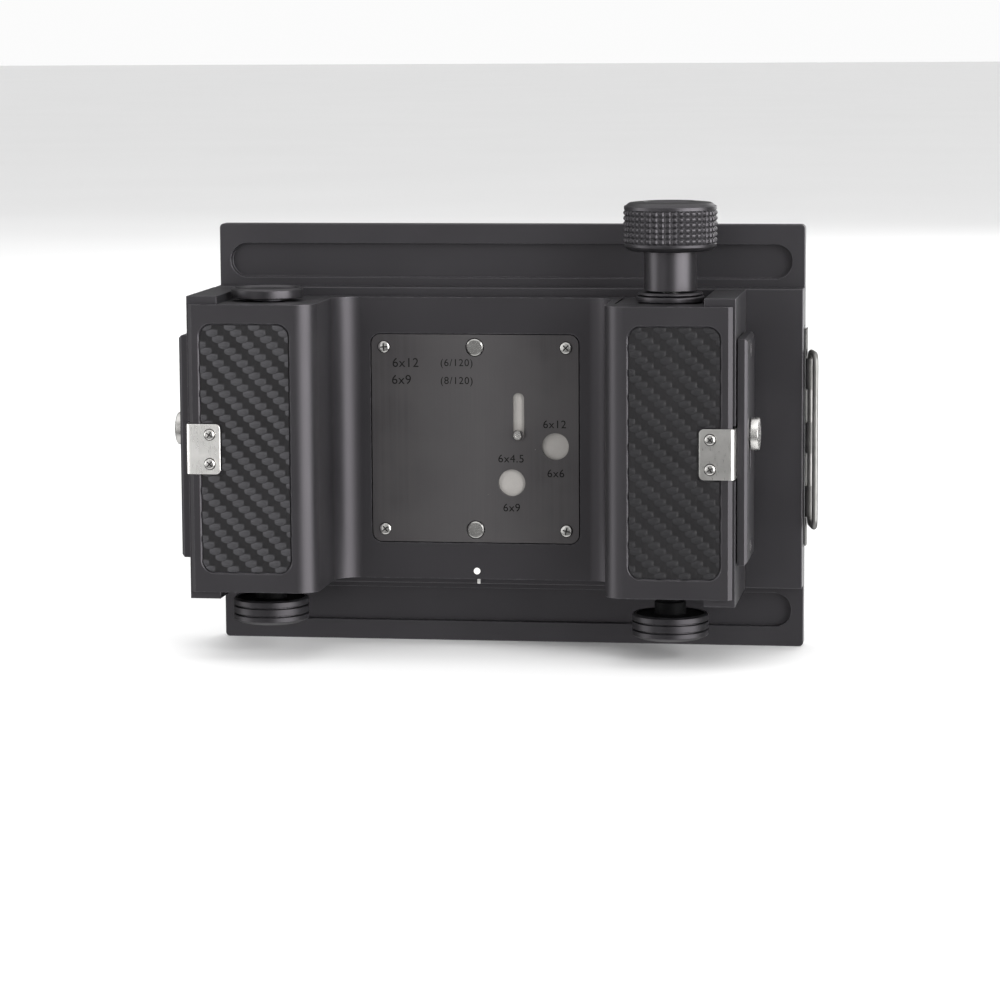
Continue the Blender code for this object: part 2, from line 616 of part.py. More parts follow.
def drive_key(z_low, z_high, x):
    thick, wide = KEY_HALF
    return box((x - thick, SPOOL_Y - wide, z_low), (x + thick, SPOOL_Y + wide, z_high))


def build_wind(spin, lift, fixed):
    axis = (SPOOL_X, SPOOL_Y, 0.0)
    collar = [(7.2, WALL_HALF_Z + GAP), (8.0, WALL_HALF_Z + GAP + 0.3), (8.5, 42.1)]
    piece("wind_collar", tube(collar, SLEEVE_RADIUS + GAP, "Z", axis, ROUND), "black_anodised",
          fixed)
    ring = [(SLEEVE_RADIUS, 34.0), (SLEEVE_RADIUS, 42.4), (COLLAR_RADIUS, 42.4),
            (COLLAR_RADIUS, 42.8), (COLLAR_RADIUS - 0.4, 43.1)]
    piece("wind_ratchet", tube(ring, SHAFT_RADIUS + GAP, "Z", axis, ROUND), "black_anodised", spin)
    low, high = KNOB_Z
    knob = [(STEM_RADIUS, STEM_FOOT), (STEM_RADIUS, low), (10.4, low), (KNOB_RADIUS - 0.5, low + 1.2),
            (KNOB_RADIUS, low + 1.5), (KNOB_RADIUS, high - 2.4), (KNOB_RADIUS - 0.4, high - 2.0),
            (KNOB_RADIUS - 0.6, high - 1.0), (KNOB_RADIUS - 2.0, high), (9.0, high),
            (8.0, high - 1.2), (0.0, high - 1.2)]
    hollow = cylinder(SHAFT_RADIUS + GAP, "Z", axis, 40.0, 50.3)
    piece("wind_knob", lathe(knob, "Z", axis, 40), "black_anodised", lift, [hollow])
    shaft = lathe([(SHAFT_RADIUS, 33.0), (SHAFT_RADIUS, 49.7), (SHAFT_RADIUS - 0.3, 50.0)],
                  "Z", axis, SMALL)
    piece("wind_shaft", shaft, "bright_steel", lift, adds=[drive_key(29.2, 34.0, SPOOL_X)])


def build_spool(parent):
    flange = SPOOL_HALF_Z - 1.3
    profile = [(SPOOL_RADIUS, -SPOOL_HALF_Z), (SPOOL_RADIUS, -flange), (SPOOL_CORE, -flange),
               (SPOOL_CORE, flange), (SPOOL_RADIUS, flange), (SPOOL_RADIUS, SPOOL_HALF_Z)]
    axis = (SPOOL_X, SPOOL_Y, 0.0)
    cuts = [cylinder(PULL_SHAFT + GAP, "Z", axis, -40.0, -28.4),
            box((SPOOL_X - 1.2, SPOOL_Y - 3.4, 28.6), (SPOOL_X + 1.2, SPOOL_Y + 3.4, 40.0)),
            box((SPOOL_X - 0.7, SPOOL_Y - 20.0, -24.0), (SPOOL_X + 0.7, SPOOL_Y + 20.0, 24.0))]
    piece("take_up_spool", lathe(profile, "Z", axis, 24), "spool_plastic", parent, cuts)


def build_supply_cap(parent):
    low, high = CAP_Z
    profile = [(SHAFT_RADIUS - 0.4, 29.6), (SHAFT_RADIUS, 30.2), (SHAFT_RADIUS, WALL_HALF_Z + GAP),
               (6.0, WALL_HALF_Z + GAP), (6.0, low), (CAP_RADIUS, low), (CAP_RADIUS, high - 1.2),
               (CAP_RADIUS - 1.1, high)]
    piece("supply_cap", lathe(profile, "Z", (-SPOOL_X, SPOOL_Y, 0.0), ROUND), "black_anodised",
          parent)


def build_pull_knobs(parents):
    low, high = PULL_HOME
    for name, x, out in (("supply", -SPOOL_X, 0.0), ("take_up", SPOOL_X, PULL_PARKED)):
        rib = (high - low) / 3
        profile = [(8.6, low), (PULL_RADIUS, low + 1.0)]
        for number in (1, 2):
            level = low + number * rib + 0.25
            profile += [(PULL_RADIUS, level - 0.3), (PULL_RADIUS - PULL_GROOVE, level - 0.15),
                        (PULL_RADIUS - PULL_GROOVE, level + 0.15), (PULL_RADIUS, level + 0.3)]
        profile += [(PULL_RADIUS, high - 0.4), (PULL_RADIUS - 0.4, high), (PULL_NECK, high),
                    (PULL_NECK, PULL_NECK_TOP), (PULL_SHAFT, PULL_NECK_TOP),
                    (PULL_SHAFT, -30.3), (PULL_SHAFT - 0.7, -29.6)]
        profile = [(radius, height - out) for radius, height in profile]
        piece(f"{name}_pull_knob", lathe(profile, "Z", (x, SPOOL_Y, 0.0), ROUND),
              "black_anodised", parents[name])


# ---------------------------------------------------------------- catches

def build_catches(parents, fixed):
    near, far = SIDE_PLATE_X
    for side, name in ((-1, "left"), (1, "right")):
        bevel = SIDE_PLATE_BEVEL
        outline = [(near, SIDE_PLATE_Y[0]), (far - bevel, SIDE_PLATE_Y[0]),
                   (far, SIDE_PLATE_Y[0] + bevel), (far, SIDE_PLATE_Y[1] - bevel),
                   (far - bevel, SIDE_PLATE_Y[1]), (near, SIDE_PLATE_Y[1])]
        plate = prism(outline, "Z", -SIDE_PLATE_HALF_Z, SIDE_PLATE_HALF_Z)
        slot_low, slot_high = BUTTON_Z - LATCH_TRAVEL - 2.4, BUTTON_Z + 2.4
        cuts = [box((near - 1.0, -40.0, -13.0), (near + 1.3, -26.0, 13.0)),
                prism(rounded((BUTTON_Y, (slot_low + slot_high) / 2), 2.3,
                              (slot_high - slot_low) / 2, 2.25, 4), "X", near - 1.0, far + 1.0)]
        for end in (-1, 1):
            cuts.append(screw_hole((far - 0.9, SIDE_SCREW_Y, end * SIDE_SCREW_Z), "X", 1.9))
        piece(f"catch_plate_{name}", on_side(plate, side), "black_anodised", fixed,
              [on_side(cut, side) for cut in cuts])
        for end, level in ((1, "upper"), (-1, "lower")):
            profile = [(1.0, -3.9), (1.0, 0.0), (1.9, 0.0), (1.9, 0.5), (1.3, 0.9)]
            shape = lathe(profile, "X", (far - 0.9, SIDE_SCREW_Y, end * SIDE_SCREW_Z), SMALL)
            piece(f"catch_plate_screw_{name}_{level}", on_side(shape, side), "bright_steel", fixed)
        slider = box((near + GAP, -39.2, BUTTON_Z - SLIDER_HALF_Z),
                     (near + 1.0, -26.8, BUTTON_Z + SLIDER_HALF_Z))
        piece(f"catch_slider_{name}", on_side(slider, side), "bright_steel", parents[name])
        profile = [(1.9, near + 1.3), (1.9, far + 0.3), (BUTTON_RADIUS - 0.2, far + 0.3),
                   (BUTTON_RADIUS, far + 0.5), (BUTTON_RADIUS, far + BUTTON_HEIGHT - 0.4),
                   (BUTTON_RADIUS - 0.4, far + BUTTON_HEIGHT)]
        button = lathe(profile, "X", (0.0, BUTTON_Y, BUTTON_Z), 24)
        piece(f"catch_button_{name}", on_side(button, side), "bright_steel", parents[name])


# ---------------------------------------------------------------- dark slide

def bail_shape():
    """A closed rectangular wire loop on its hinge, leaning a little outwards from -Y."""
    sides = 8
    outline = rounded((BAIL_REACH / 2, 0.0), BAIL_REACH / 2, BAIL_HALF_Z, BAIL_CORNER, 4)
    shape = bmesh.new()
    rings = []
    count = len(outline)
    for i, (u, z) in enumerate(outline):
        before, after = Vector(outline[i - 1]), Vector(outline[(i + 1) % count])
        tangent = (after - before).normalized()
        normal = Vector((tangent.y, -tangent.x))
        ring = []
        for k in range(sides):
            angle = 2.0 * math.pi * k / sides
            reach = BAIL_WIRE * math.cos(angle)
            ring.append(shape.verts.new((BAIL_X + BAIL_WIRE * math.sin(angle),
                                         BAIL_Y + u + normal.x * reach, z + normal.y * reach)))
        rings.append(ring)
    for i, first in enumerate(rings):
        second = rings[(i + 1) % count]
        for k in range(sides):
            n = (k + 1) % sides
            shape.faces.new((first[k], first[n], second[n], second[k]))
    bmesh.ops.recalc_face_normals(shape, faces=shape.faces)
    hinge = Matrix.Translation((BAIL_X, BAIL_Y, 0.0))
    swing = Matrix.Rotation(math.radians(BAIL_LEAN - 180.0), 4, "Z")
    bmesh.ops.transform(shape, matrix=hinge @ swing @ hinge.inverted(), verts=shape.verts)
    return shape


def build_dark_slide(slide, bail):
    blade = box((SLIDE_LEFT, SLIDE_Y[0], -SLIDE_HALF_Z),
                (HANDLE_X[0] - GAP, SLIDE_Y[1], SLIDE_HALF_Z))
    piece("dark_slide_blade", blade, "slide_sheet", slide)
    bar = box((HANDLE_X[0], HANDLE_Y[0], -SLIDE_HALF_Z), (HANDLE_X[1], HANDLE_Y[1], SLIDE_HALF_Z))
    hinge = (BAIL_X, BAIL_Y, 0.0)
    eyes = [cylinder(KNUCKLE_RADIUS, "Z", hinge, z - KNUCKLE_HALF, z + KNUCKLE_HALF, SMALL)
            for z in (-KNUCKLE_Z, 0.0, KNUCKLE_Z)]
    reach = BAIL_HALF_Z + BAIL_WIRE + GAP
    groove = cylinder(KNUCKLE_BORE, "Z", hinge, -reach, reach, SMALL)
    piece("dark_slide_handle", bar, "slide_sheet", slide, [groove], adds=eyes)
    piece("dark_slide_bail", bail_shape(), "bright_steel", bail)


# ---------------------------------------------------------------- assembly

def main():
    clear_scene()
    holder = pivot("holder")
    cover = pivot("cover_off", parent=holder)
    shutter = pivot("shutter_slide", parent=cover)
    pressure = pivot("pressure_slide", parent=holder)
    wind_spin = pivot("wind_spin", (SPOOL_X, SPOOL_Y, 0.0), holder)
    wind_lift = pivot("wind_lift", parent=wind_spin)
    spool = pivot("take_up_spin", (SPOOL_X, SPOOL_Y, 0.0), holder)
    cap = pivot("supply_spin", (-SPOOL_X, SPOOL_Y, 0.0), holder)
    pulls = {"supply": pivot("supply_pull", (-SPOOL_X, SPOOL_Y, 0.0), holder),
             "take_up": pivot("take_up_pull", (SPOOL_X, SPOOL_Y, 0.0), holder)}
    rollers = {name: pivot(f"roller_spin_{name}", (side * ROLLER_X, ROLLER_Y, 0.0), holder)
               for side, name in ((-1, "left"), (1, "right"))}
    catches = {name: pivot(f"catch_slide_{name}", parent=holder) for name in ("left", "right")}
    slide = pivot("slide_pull", parent=holder)
    bail = pivot("bail_swing", (BAIL_X, BAIL_Y, 0.0), slide)

    build_mount_plate(holder)
    build_housing(holder)
    build_light_trap(holder)
    build_film_body(holder)
    build_rollers(rollers)
    build_pressure_plate(pressure, holder)
    build_cover(cover)
    build_leatherette(cover)
    build_clips(cover)
    build_nameplate(cover)
    build_shutter(shutter)
    build_wind(wind_spin, wind_lift, holder)
    build_spool(spool)
    build_supply_cap(cap)
    build_pull_knobs(pulls)
    build_catches(catches, holder)
    build_dark_slide(slide, bail)


main()
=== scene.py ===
"""Looks of the roll-film holder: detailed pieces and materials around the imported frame.

X runs along the film, Z is up, and the leather side of the cover faces -Y. Lengths are in
millimetres; link() turns them into metres.
"""

import json
from math import cos, dist, pi, radians, sin

import bmesh
import bpy
import numpy as np
from mathutils import Matrix, Vector


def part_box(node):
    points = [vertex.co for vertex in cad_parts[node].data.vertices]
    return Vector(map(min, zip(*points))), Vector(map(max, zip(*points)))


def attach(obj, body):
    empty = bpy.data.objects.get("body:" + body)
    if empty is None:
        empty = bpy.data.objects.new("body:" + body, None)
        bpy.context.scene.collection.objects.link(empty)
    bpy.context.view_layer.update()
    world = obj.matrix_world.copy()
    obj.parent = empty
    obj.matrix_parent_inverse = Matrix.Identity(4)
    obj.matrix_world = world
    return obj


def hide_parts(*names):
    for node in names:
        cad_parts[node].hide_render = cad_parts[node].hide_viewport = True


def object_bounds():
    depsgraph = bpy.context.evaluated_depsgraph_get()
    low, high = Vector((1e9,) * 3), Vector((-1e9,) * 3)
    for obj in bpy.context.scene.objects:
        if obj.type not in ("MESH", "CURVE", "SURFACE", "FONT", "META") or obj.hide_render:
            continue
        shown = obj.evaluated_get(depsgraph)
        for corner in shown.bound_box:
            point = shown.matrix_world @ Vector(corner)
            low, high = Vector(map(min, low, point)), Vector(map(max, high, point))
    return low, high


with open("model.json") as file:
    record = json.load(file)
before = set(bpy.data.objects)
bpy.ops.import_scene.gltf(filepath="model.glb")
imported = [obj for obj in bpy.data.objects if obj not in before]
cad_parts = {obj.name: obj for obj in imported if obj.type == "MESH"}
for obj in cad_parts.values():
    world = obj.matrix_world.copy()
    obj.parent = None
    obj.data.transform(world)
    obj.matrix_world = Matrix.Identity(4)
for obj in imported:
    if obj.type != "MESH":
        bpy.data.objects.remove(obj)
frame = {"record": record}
cad_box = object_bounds()

MM = 0.001
GAP = 0.3                   # running clearance
ROUND, SMALL = 96, 32       # segments of large and of small round pieces
TOW, BELLY = 1.7, 0.3       # twill: width of one tow, and how far a float bulges, in tows
DRAFT = 0.4                 # chamfer round the recess of the leatherette
INSET = 0.25                # the recess outgrows the leatherette by this much
RING = 0.2                  # open ring round a screw head
CLIP_HEAD, PLATE_HEAD = 1.45, 1.65  # radii of the screw heads
THROUGH_PLATE = (-25, -10)  # Y range that passes through nameplate and shutter
THROUGH_CLIP = (-60, -45)   # Y range that passes through a clip
SIDES = ((-1, "left"), (1, "right"))
LEVELS = ("upper", "lower")
HOUSING_SCREWS = [f"housing_screw_{number}" for number in range(1, 5)]
BODY_OF = {node: body for body, nodes in frame["record"]["behaviour"]["bodies"].items()
           for node in nodes}


def span(node):
    """The lowest and highest corner of a CAD node, in millimetres."""
    low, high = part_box(node)
    return low / MM, high / MM


def middle(node):
    low, high = span(node)
    return (low + high) / 2


def spot(node):
    """Where a node stands on the back, as (x, z)."""
    return tuple(middle(node).xz)


WINDOWS = [spot(f"window_filter_{number}") for number in (1, 2)]
STUDS = [spot(f"pressure_stud_{level}") for level in LEVELS]
PLATE_SCREWS = [spot(f"nameplate_screw_{level}_{name}") for level in LEVELS for _, name in SIDES]


def put(thing, **settings):
    """The thing itself, after several of its settings are changed."""
    for key, value in settings.items():
        setattr(thing, key, value)
    return thing


# ---- shapes

def shift(place):
    return Matrix.Translation(place)


def rotation(degrees, axis):
    return Matrix.Rotation(radians(degrees), 4, axis)


def closed(shape):
    bmesh.ops.recalc_face_normals(shape, faces=shape.faces)
    return shape


def moved(shape, matrix):
    bmesh.ops.transform(shape, matrix=matrix, verts=shape.verts)
    return shape


def skin(shape, first, second):
    """Quads between two rings of vertices."""
    for k in range(len(first)):
        n = (k + 1) % len(first)
        shape.faces.new((first[k], first[n], second[n], second[k]))


def box(low, high):
    shape = bmesh.new()
    bmesh.ops.create_cube(shape, size=1)
    for vert in shape.verts:
        vert.co = [high[k] if vert.co[k] > 0 else low[k] for k in range(3)]
    return shape


def arc(centre, radius, start, end, steps):
    """Points on an arc, its ends given in degrees."""
    turns = [radians(start + (end - start) * step / steps) for step in range(steps + 1)]
    return [(centre[0] + radius * cos(turn), centre[1] + radius * sin(turn)) for turn in turns]


def tidy_outline(points):
    kept = []
    for point in points:
        if not kept or dist(point, kept[-1]) > 1e-4:
            kept.append(point)
    if dist(kept[0], kept[-1]) < 1e-4:
        kept.pop()
    return kept


def rounded(centre, half_width, half_height, radius, steps=10):
    """Outline of a rectangle with round corners, anticlockwise."""
    points = []
    for quarter, (sx, sy) in enumerate(((1, 1), (-1, 1), (-1, -1), (1, -1))):
        mid = (centre[0] + sx * (half_width - radius), centre[1] + sy * (half_height - radius))
        points += arc(mid, radius, 90 * quarter, 90 * (quarter + 1), steps)
    return tidy_outline(points)


PLACE = {
    "X": lambda u, v, w: (w, u, v),
    "Y": lambda u, v, w: (u, w, v),
    "Z": lambda u, v, w: (u, v, w),
}


def prism(outline, axis, low, high, far=None):
    """The outline pushed from low to high along axis, or drafted to the outline far there."""
    shape = bmesh.new()
    place = PLACE[axis]
    rings = [[shape.verts.new(place(u, v, w)) for u, v in points]
             for points, w in ((outline, low), (far or outline, high))]
    shape.faces.new(rings[0])
    shape.faces.new(rings[1])
    skin(shape, *rings)
    return closed(shape)


TURN = {
    "X": rotation(90, "Y"),
    "Y": rotation(-90, "X"),
    "Z": Matrix.Identity(4),
}


def lathe(profile, axis, centre, segments=ROUND, bore=None, relief=lambda *place: 0):
    """A turned solid: profile holds (radius, height), and bore makes it a ring.

    relief(angle, height, radius) is added to the radius, for knurls."""
    shape = bmesh.new()
    loop = list(profile)
    if bore is not None:
        loop += [(bore, loop[-1][1]), (bore, loop[0][1])]
    rings = []
    for radius, height in loop:
        if radius < 1e-6:
            rings.append([shape.verts.new((0, 0, height))])
            continue
        ring = []
        for k in range(segments):
            angle = 2 * pi * k / segments
            reach = radius + relief(angle, height, radius)
            ring.append(shape.verts.new((reach * cos(angle), reach * sin(angle), height)))
        rings.append(ring)
    pairs = list(zip(rings, rings[1:]))
    if bore is not None:
        pairs.append((rings[-1], rings[0]))
    for first, second in pairs:
        if len(first) == len(second):
            skin(shape, first, second)
            continue
        for k in range(segments):
            n = (k + 1) % segments
            if len(first) == 1:
                shape.faces.new((first[0], second[n], second[k]))
            else:
                shape.faces.new((first[k], first[n], second[0]))
    if bore is None:
        for ring in (rings[0], rings[-1]):
            if len(ring) > 1:
                shape.faces.new(ring)
    return moved(closed(shape), shift(centre) @ TURN[axis])


def rise(level, *steps):
    """Profile points from pairs of radius and height above the level."""
    return [(radius, level + height) for radius, height in steps]


def cylinder(radius, axis, centre, low, high, segments=SMALL):
    return lathe([(radius, low), (radius, high)], axis, centre, segments)


def drill(radius, spots, reach, segments=SMALL):
    """Cutters along Y at each (x, z), over the Y range reach."""
    return [cylinder(radius, "Y", (x, 0, z), *reach, segments) for x, z in spots]


def sheet(node, radius, steps):
    """A plate with round corners that fills the box of a CAD node."""
    low, high = span(node)
    outline = rounded(((low.x + high.x) / 2, 0), (high.x - low.x) / 2, high.z, radius, steps)
    return prism(outline, "Y", low.y, high.y)


def on_side(shape, side):
    """The shape itself, or its mirror image on the other side of X = 0."""
    if side < 0:
        moved(shape, Matrix.Diagonal((-1, 1, 1, 1)))
        bmesh.ops.reverse_faces(shape, faces=shape.faces)
    return shape


def cross_cut(centre, axis, size, depth, turn_deg):
    """Cutters of a Phillips recess: two tapered blades that cross at the middle."""
    blades = []
    deep, half = size * 0.42, size * 0.17
    corners = [(size, -0.4), (-size, -0.4), (-size, 0.02), (-deep, depth), (deep, depth),
               (size, 0.02)]
    for quarter in (0, 90):
        spin = rotation(turn_deg + quarter, "Z")
        blades.append(moved(prism(corners, "Y", -half, half), shift(centre) @ TURN[axis] @ spin))
    return blades


def add_object(name, data):
    obj = bpy.data.objects.new(name, data)
    bpy.context.scene.collection.objects.link(obj)
    return obj


def link(name, shape):
    """Scale a millimetre bmesh to metres and put it in the scene."""
    for vert in shape.verts:
        vert.co *= MM
    mesh = bpy.data.meshes.new(name)
    shape.to_mesh(mesh)
    shape.free()
    return add_object(name, mesh)


def evaluated_mesh(obj):
    bpy.context.view_layer.update()
    graph = bpy.context.evaluated_depsgraph_get()
    return bpy.data.meshes.new_from_object(obj.evaluated_get(graph), depsgraph=graph)


def bake(obj):
    """Replace the mesh by its modified one."""
    mesh = evaluated_mesh(obj)
    obj.modifiers.clear()
    obj.data = mesh


def solid(name, shape, finish, cuts=(), adds=(), keeps=(), edge=0, rounds=2, smooth=38):
    """One finished mesh: shapes added, shapes cut, the shape kept, and its edges softened."""
    obj = link(name, shape)
    tools = []
    for operation, shapes in (("UNION", adds), ("DIFFERENCE", cuts), ("INTERSECT", keeps)):
        for tool_shape in shapes:
            tool = link(f"{name}_tool", tool_shape)
            tools.append(tool)
            put(obj.modifiers.new("cut", "BOOLEAN"), operation=operation, object=tool)
    if tools:
        bake(obj)
        for tool in tools:
            bpy.data.objects.remove(tool)
    if edge:
        put(obj.modifiers.new("edge", "BEVEL"), width=edge * MM, segments=rounds,
            limit_method="ANGLE", angle_limit=radians(smooth), use_clamp_overlap=True)
    obj.data.shade_smooth()
    obj.data.set_sharp_from_angle(angle=radians(smooth + 12 if edge else smooth))
    put(obj.modifiers.new("normals", "WEIGHTED_NORMAL"), keep_sharp=True)
    bake(obj)
    obj.data.materials.clear()
    obj.data.materials.append(finish)
    return obj


def stand_for(node, shape, finish, **how):
    """A detailed piece in place of one CAD node, on its body."""
    obj = solid(f"{node}_detail", shape, finish, **how)
    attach(obj, BODY_OF[node])
    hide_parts(node)
    return obj


def turned(node, profile, finish, axis="Z", segments=ROUND, **how):
    """A turned piece in place of one CAD node, round the node's own middle line."""
    centre = middle(node)
    centre["XYZ".index(axis)] = 0
    return stand_for(node, lathe(profile, axis, centre, segments), finish, **how)


def refinish(obj, finish, inside):
    """Give another finish to the faces whose middle, in millimetres, passes the test."""
    obj.data.materials.append(finish)
    for face in obj.data.polygons:
        if inside(face.center / MM):
            face.material_index = len(obj.data.materials) - 1


# ---- materials

class Nodes:
    """Short ways to add shader nodes to a tree."""

    def __init__(self, tree):
        self.tree = tree

    def add(self, kind, inputs=(), **settings):
        node = put(self.tree.nodes.new(kind), **settings)
        for socket, value in dict(inputs).items():
            self.feed(node.inputs[socket], value)
        return node

    def feed(self, socket, value):
        if isinstance(value, bpy.types.NodeSocket):
            self.tree.links.new(value, socket)
        else:
            socket.default_value = value

    def remap(self, value, low, high, to_low=0, to_high=1, kind="LINEAR"):
        inputs = {"Value": value, "From Min": low, "From Max": high, "To Min": to_low,
                  "To Max": to_high}
        return self.add("ShaderNodeMapRange", inputs, interpolation_type=kind).outputs["Result"]

    def spread(self, noise, to_low=0, to_high=1):
        """The usual reach of a noise, taken to another range."""
        return self.remap(noise, 0.3, 0.7, to_low, to_high)

    def maths(self, operation, *values):
        return self.add("ShaderNodeMath", dict(enumerate(values)), operation=operation).outputs[0]

    def times(self, first, second):
        return self.maths("MULTIPLY", first, second)

    def plus(self, first, second):
        return self.maths("ADD", first, second)


class Finish(Nodes):
    """A node material around one Principled shader."""

    def __init__(self, name, **fixed):
        self.material = bpy.data.materials.new(name)
        self.material.use_nodes = True
        super().__init__(self.material.node_tree)
        self.shader = self.tree.nodes["Principled BSDF"]
        self.place = self.add("ShaderNodeTexCoord").outputs["Object"]
        for socket, value in fixed.items():
            self.shader.inputs[socket.replace("_", " ")].default_value = value

    def noise(self, per_mm, detail=2, stretch=(1, 1, 1), roughness=0.5):
        """Noise with about per_mm features to the millimetre, stretched along the axes."""
        mapped = self.add("ShaderNodeMapping", {"Vector": self.place,
                          "Scale": tuple(per_mm / MM / s for s in stretch)}).outputs["Vector"]
        return self.add("ShaderNodeTexNoise", {"Vector": mapped, "Scale": 1, "Detail": detail,
                        "Roughness": roughness}).outputs["Fac"]

    def mix(self, factor, first, second):
        return self.add("ShaderNodeMix", {0: factor, 6: first, 7: second},
                        data_type="RGBA").outputs[2]

    def edges(self, radius):
        """1 on outer edges and corners of about that radius in millimetres, 0 on flats."""
        soft = self.add("ShaderNodeBevel", {"Radius": radius * MM}, samples=4).outputs["Normal"]
        true = self.add("ShaderNodeNewGeometry").outputs["Normal"]
        same = self.add("ShaderNodeVectorMath", {0: soft, 1: true}, operation="DOT_PRODUCT")
        return self.remap(same.outputs["Value"], 0.99, 0.82)

    def bump(self, height, depth, **more):
        """depth is the real height of the relief, in millimetres."""
        inputs = {"Height": height, "Distance": depth * MM, **more}
        return self.add("ShaderNodeBump", inputs).outputs["Normal"]

    def made_of(self, *values):
        """The material, fed with its base colour, roughness and normal."""
        for socket, value in zip(("Base Color", "Roughness", "Normal"), values):
            self.feed(self.shader.inputs[socket], value)
        return self.material


def tone(value, tint=(1, 1, 1)):
    return tuple(value * part for part in tint) + (1,)


COOL = (0.98, 0.96, 1.04)
STEEL_TINT = (1, 0.985, 0.955)
VIOLET_SHEEN = (0.97, 0.915, 0.985, 1)


def anodised(name, dark, light, smooth, rough, edge_tone=0.1, grain=0.0016, ior=1.6):
    """Bead-blasted black anodising: fine grain, cloudy tone, and lighter edges that are partly wear
    and partly a painted edge highlight.
    """
    made = Finish(name, IOR=ior, Specular_Tint=VIOLET_SHEEN)
    cloud = made.noise(0.045, 4)
    fine = made.noise(5.5)
    blend = made.maths("MULTIPLY_ADD", fine, 0.45, made.times(cloud, 0.55))
    colour = made.mix(made.spread(blend), tone(dark, COOL), tone(light, COOL))
    # Lighter outer edges: partly edge wear and partly a painted edge highlight.
    wear_and_edge_highlight = made.times(made.edges(0.35), made.remap(made.noise(0.6, 4), 0.42, 0.68, 0.15, 1))
    colour = made.mix(wear_and_edge_highlight, colour, tone(edge_tone, COOL))
    gloss = made.remap(blend, 0.25, 0.75, smooth, rough)
    marks = made.noise(0.8, stretch=(1, 1, 22))
    gloss = made.plus(gloss, made.remap(marks, 0.62, 0.8, 0, -0.05))
    return made.made_of(colour, gloss, made.bump(fine, grain))


def metal(name, dark, light, smooth, rough, stretch):
    """Ground or turned bright metal: streaks along one direction and faint smudges."""
    made = Finish(name, Metallic=1)
    streak = made.noise(4, 3, stretch)
    smudge = made.noise(0.25, 4)
    colour = made.mix(made.spread(smudge), tone(dark, STEEL_TINT), tone(light, STEEL_TINT))
    gloss = made.plus(made.spread(streak, smooth, rough), made.remap(smudge, 0.5, 0.75, 0, 0.07))
    return made.made_of(colour, gloss, made.bump(streak, 0.0012))


def nameplate_steel():
    """Dark steel brushed up and down, with specks, a few scratches and a greasy bloom."""
    made = Finish("nameplate_steel", Metallic=1)
    where = made.add("ShaderNodeSeparateXYZ", {"Vector": made.place}).outputs["X"]
    aside = made.maths("ABSOLUTE", made.maths("SUBTRACT", where, middle("nameplate").x * MM))
    rubbed = made.remap(aside, 0, 24 * MM, 0.62, 0, "SMOOTHSTEP")
    brush = made.noise(7, 3, stretch=(1, 1, 160), roughness=0.65)
    wide = made.noise(0.9, stretch=(1, 1, 60))
    bloom = made.noise(0.05, 3)
    tinted = made.mix(made.remap(bloom, 0.35, 0.65), (0.092, 0.086, 0.09, 1),
                      (0.118, 0.112, 0.115, 1))
    lines = made.plus(made.spread(brush, 0, 0.35), made.remap(wide, 0.35, 0.65, 0, 0.2))
    tinted = made.mix(rubbed, tinted, (0.185, 0.178, 0.181, 1))
    tinted = made.mix(lines, tinted, (0.135, 0.13, 0.132, 1))
    speck = made.add("ShaderNodeTexVoronoi", {"Vector": made.place, "Scale": 0.16 / MM},
                     feature="F1").outputs["Distance"]
    dust = made.times(made.remap(speck, 0.03, 0.012),
                      made.remap(made.noise(0.3, 1), 0.5, 0.55, 0, 0.8))
    tinted = made.mix(dust, tinted, (0.75, 0.73, 0.7, 1))
    gloss = made.spread(brush, 0.38, 0.47)
    return made.made_of(tinted, gloss, made.bump(brush, 0.0005))


def twill_vinyl(name, light):
    """Black vinyl over the moulded twill: a painted sheen on the weft floats, dark warp floats, and
    a thread grain.
    """
    made = Finish(f"twill_vinyl_{name}", IOR=1.5, Specular_IOR_Level=0.27)
    low = span(f"leatherette_{name}")[0]
    parts = made.add("ShaderNodeSeparateXYZ", {0: made.place}).outputs
    across, up = (made.times(made.maths("SUBTRACT", parts[k], low[k] * MM), 1 / (TOW * MM))
                  for k in (0, 2))

    def sine(value, turn=pi):
        return made.maths("SINE", made.times(value, turn))

    def belly(row):
        wave = sine(made.plus(across, row), pi / 2)
        return made.times(made.maths("MAXIMUM", wave, 0), BELLY)

    base = made.maths("FLOOR", up)
    above = made.plus(base, 1)
    row = made.plus(base, made.maths("GREATER_THAN", made.plus(up, belly(above)), above))
    sag = belly(row)
    side = made.maths("DIVIDE", made.maths("SUBTRACT", made.plus(up, sag), row), made.plus(sag, 1))
    phase = made.maths("MODULO", made.plus(made.maths("FLOOR", across), row), 4)
    run = made.times(made.plus(made.maths("FRACT", across), phase), 0.5)
    # Painted sheen on each weft float: brightest on its crown and towards its upper left end,
    # fading to its edges.
    crown = made.times(sine(run), sine(side))
    weft = made.times(made.remap(crown, 0.02, 0.26, 0.18, 1, "SMOOTHSTEP"),
                      made.maths("LESS_THAN", phase, 1.5))
    lean = made.plus(made.times(run, -0.55), made.times(side, 0.1))
    weft = made.times(weft, made.plus(lean, 1.05))
    thread = made.noise(5, stretch=(9, 1, 1))
    cloud = made.noise(0.08, 3)
    fine = made.noise(11)
    dark = made.mix(made.spread(cloud), (0.008, 0.0076, 0.0082, 1), (0.012, 0.0114, 0.0123, 1))
    sheen_tone = made.mix(made.spread(thread), tone(0.8 * light, COOL), tone(1.15 * light, COOL))
    gloss = made.plus(made.spread(thread, 0.38, 0.48), made.spread(fine, 0, 0.06))
    grain = made.bump(thread, 0.004)
    return made.made_of(made.mix(weft, dark, sheen_tone), gloss, made.bump(fine, 0.002, Normal=grain))


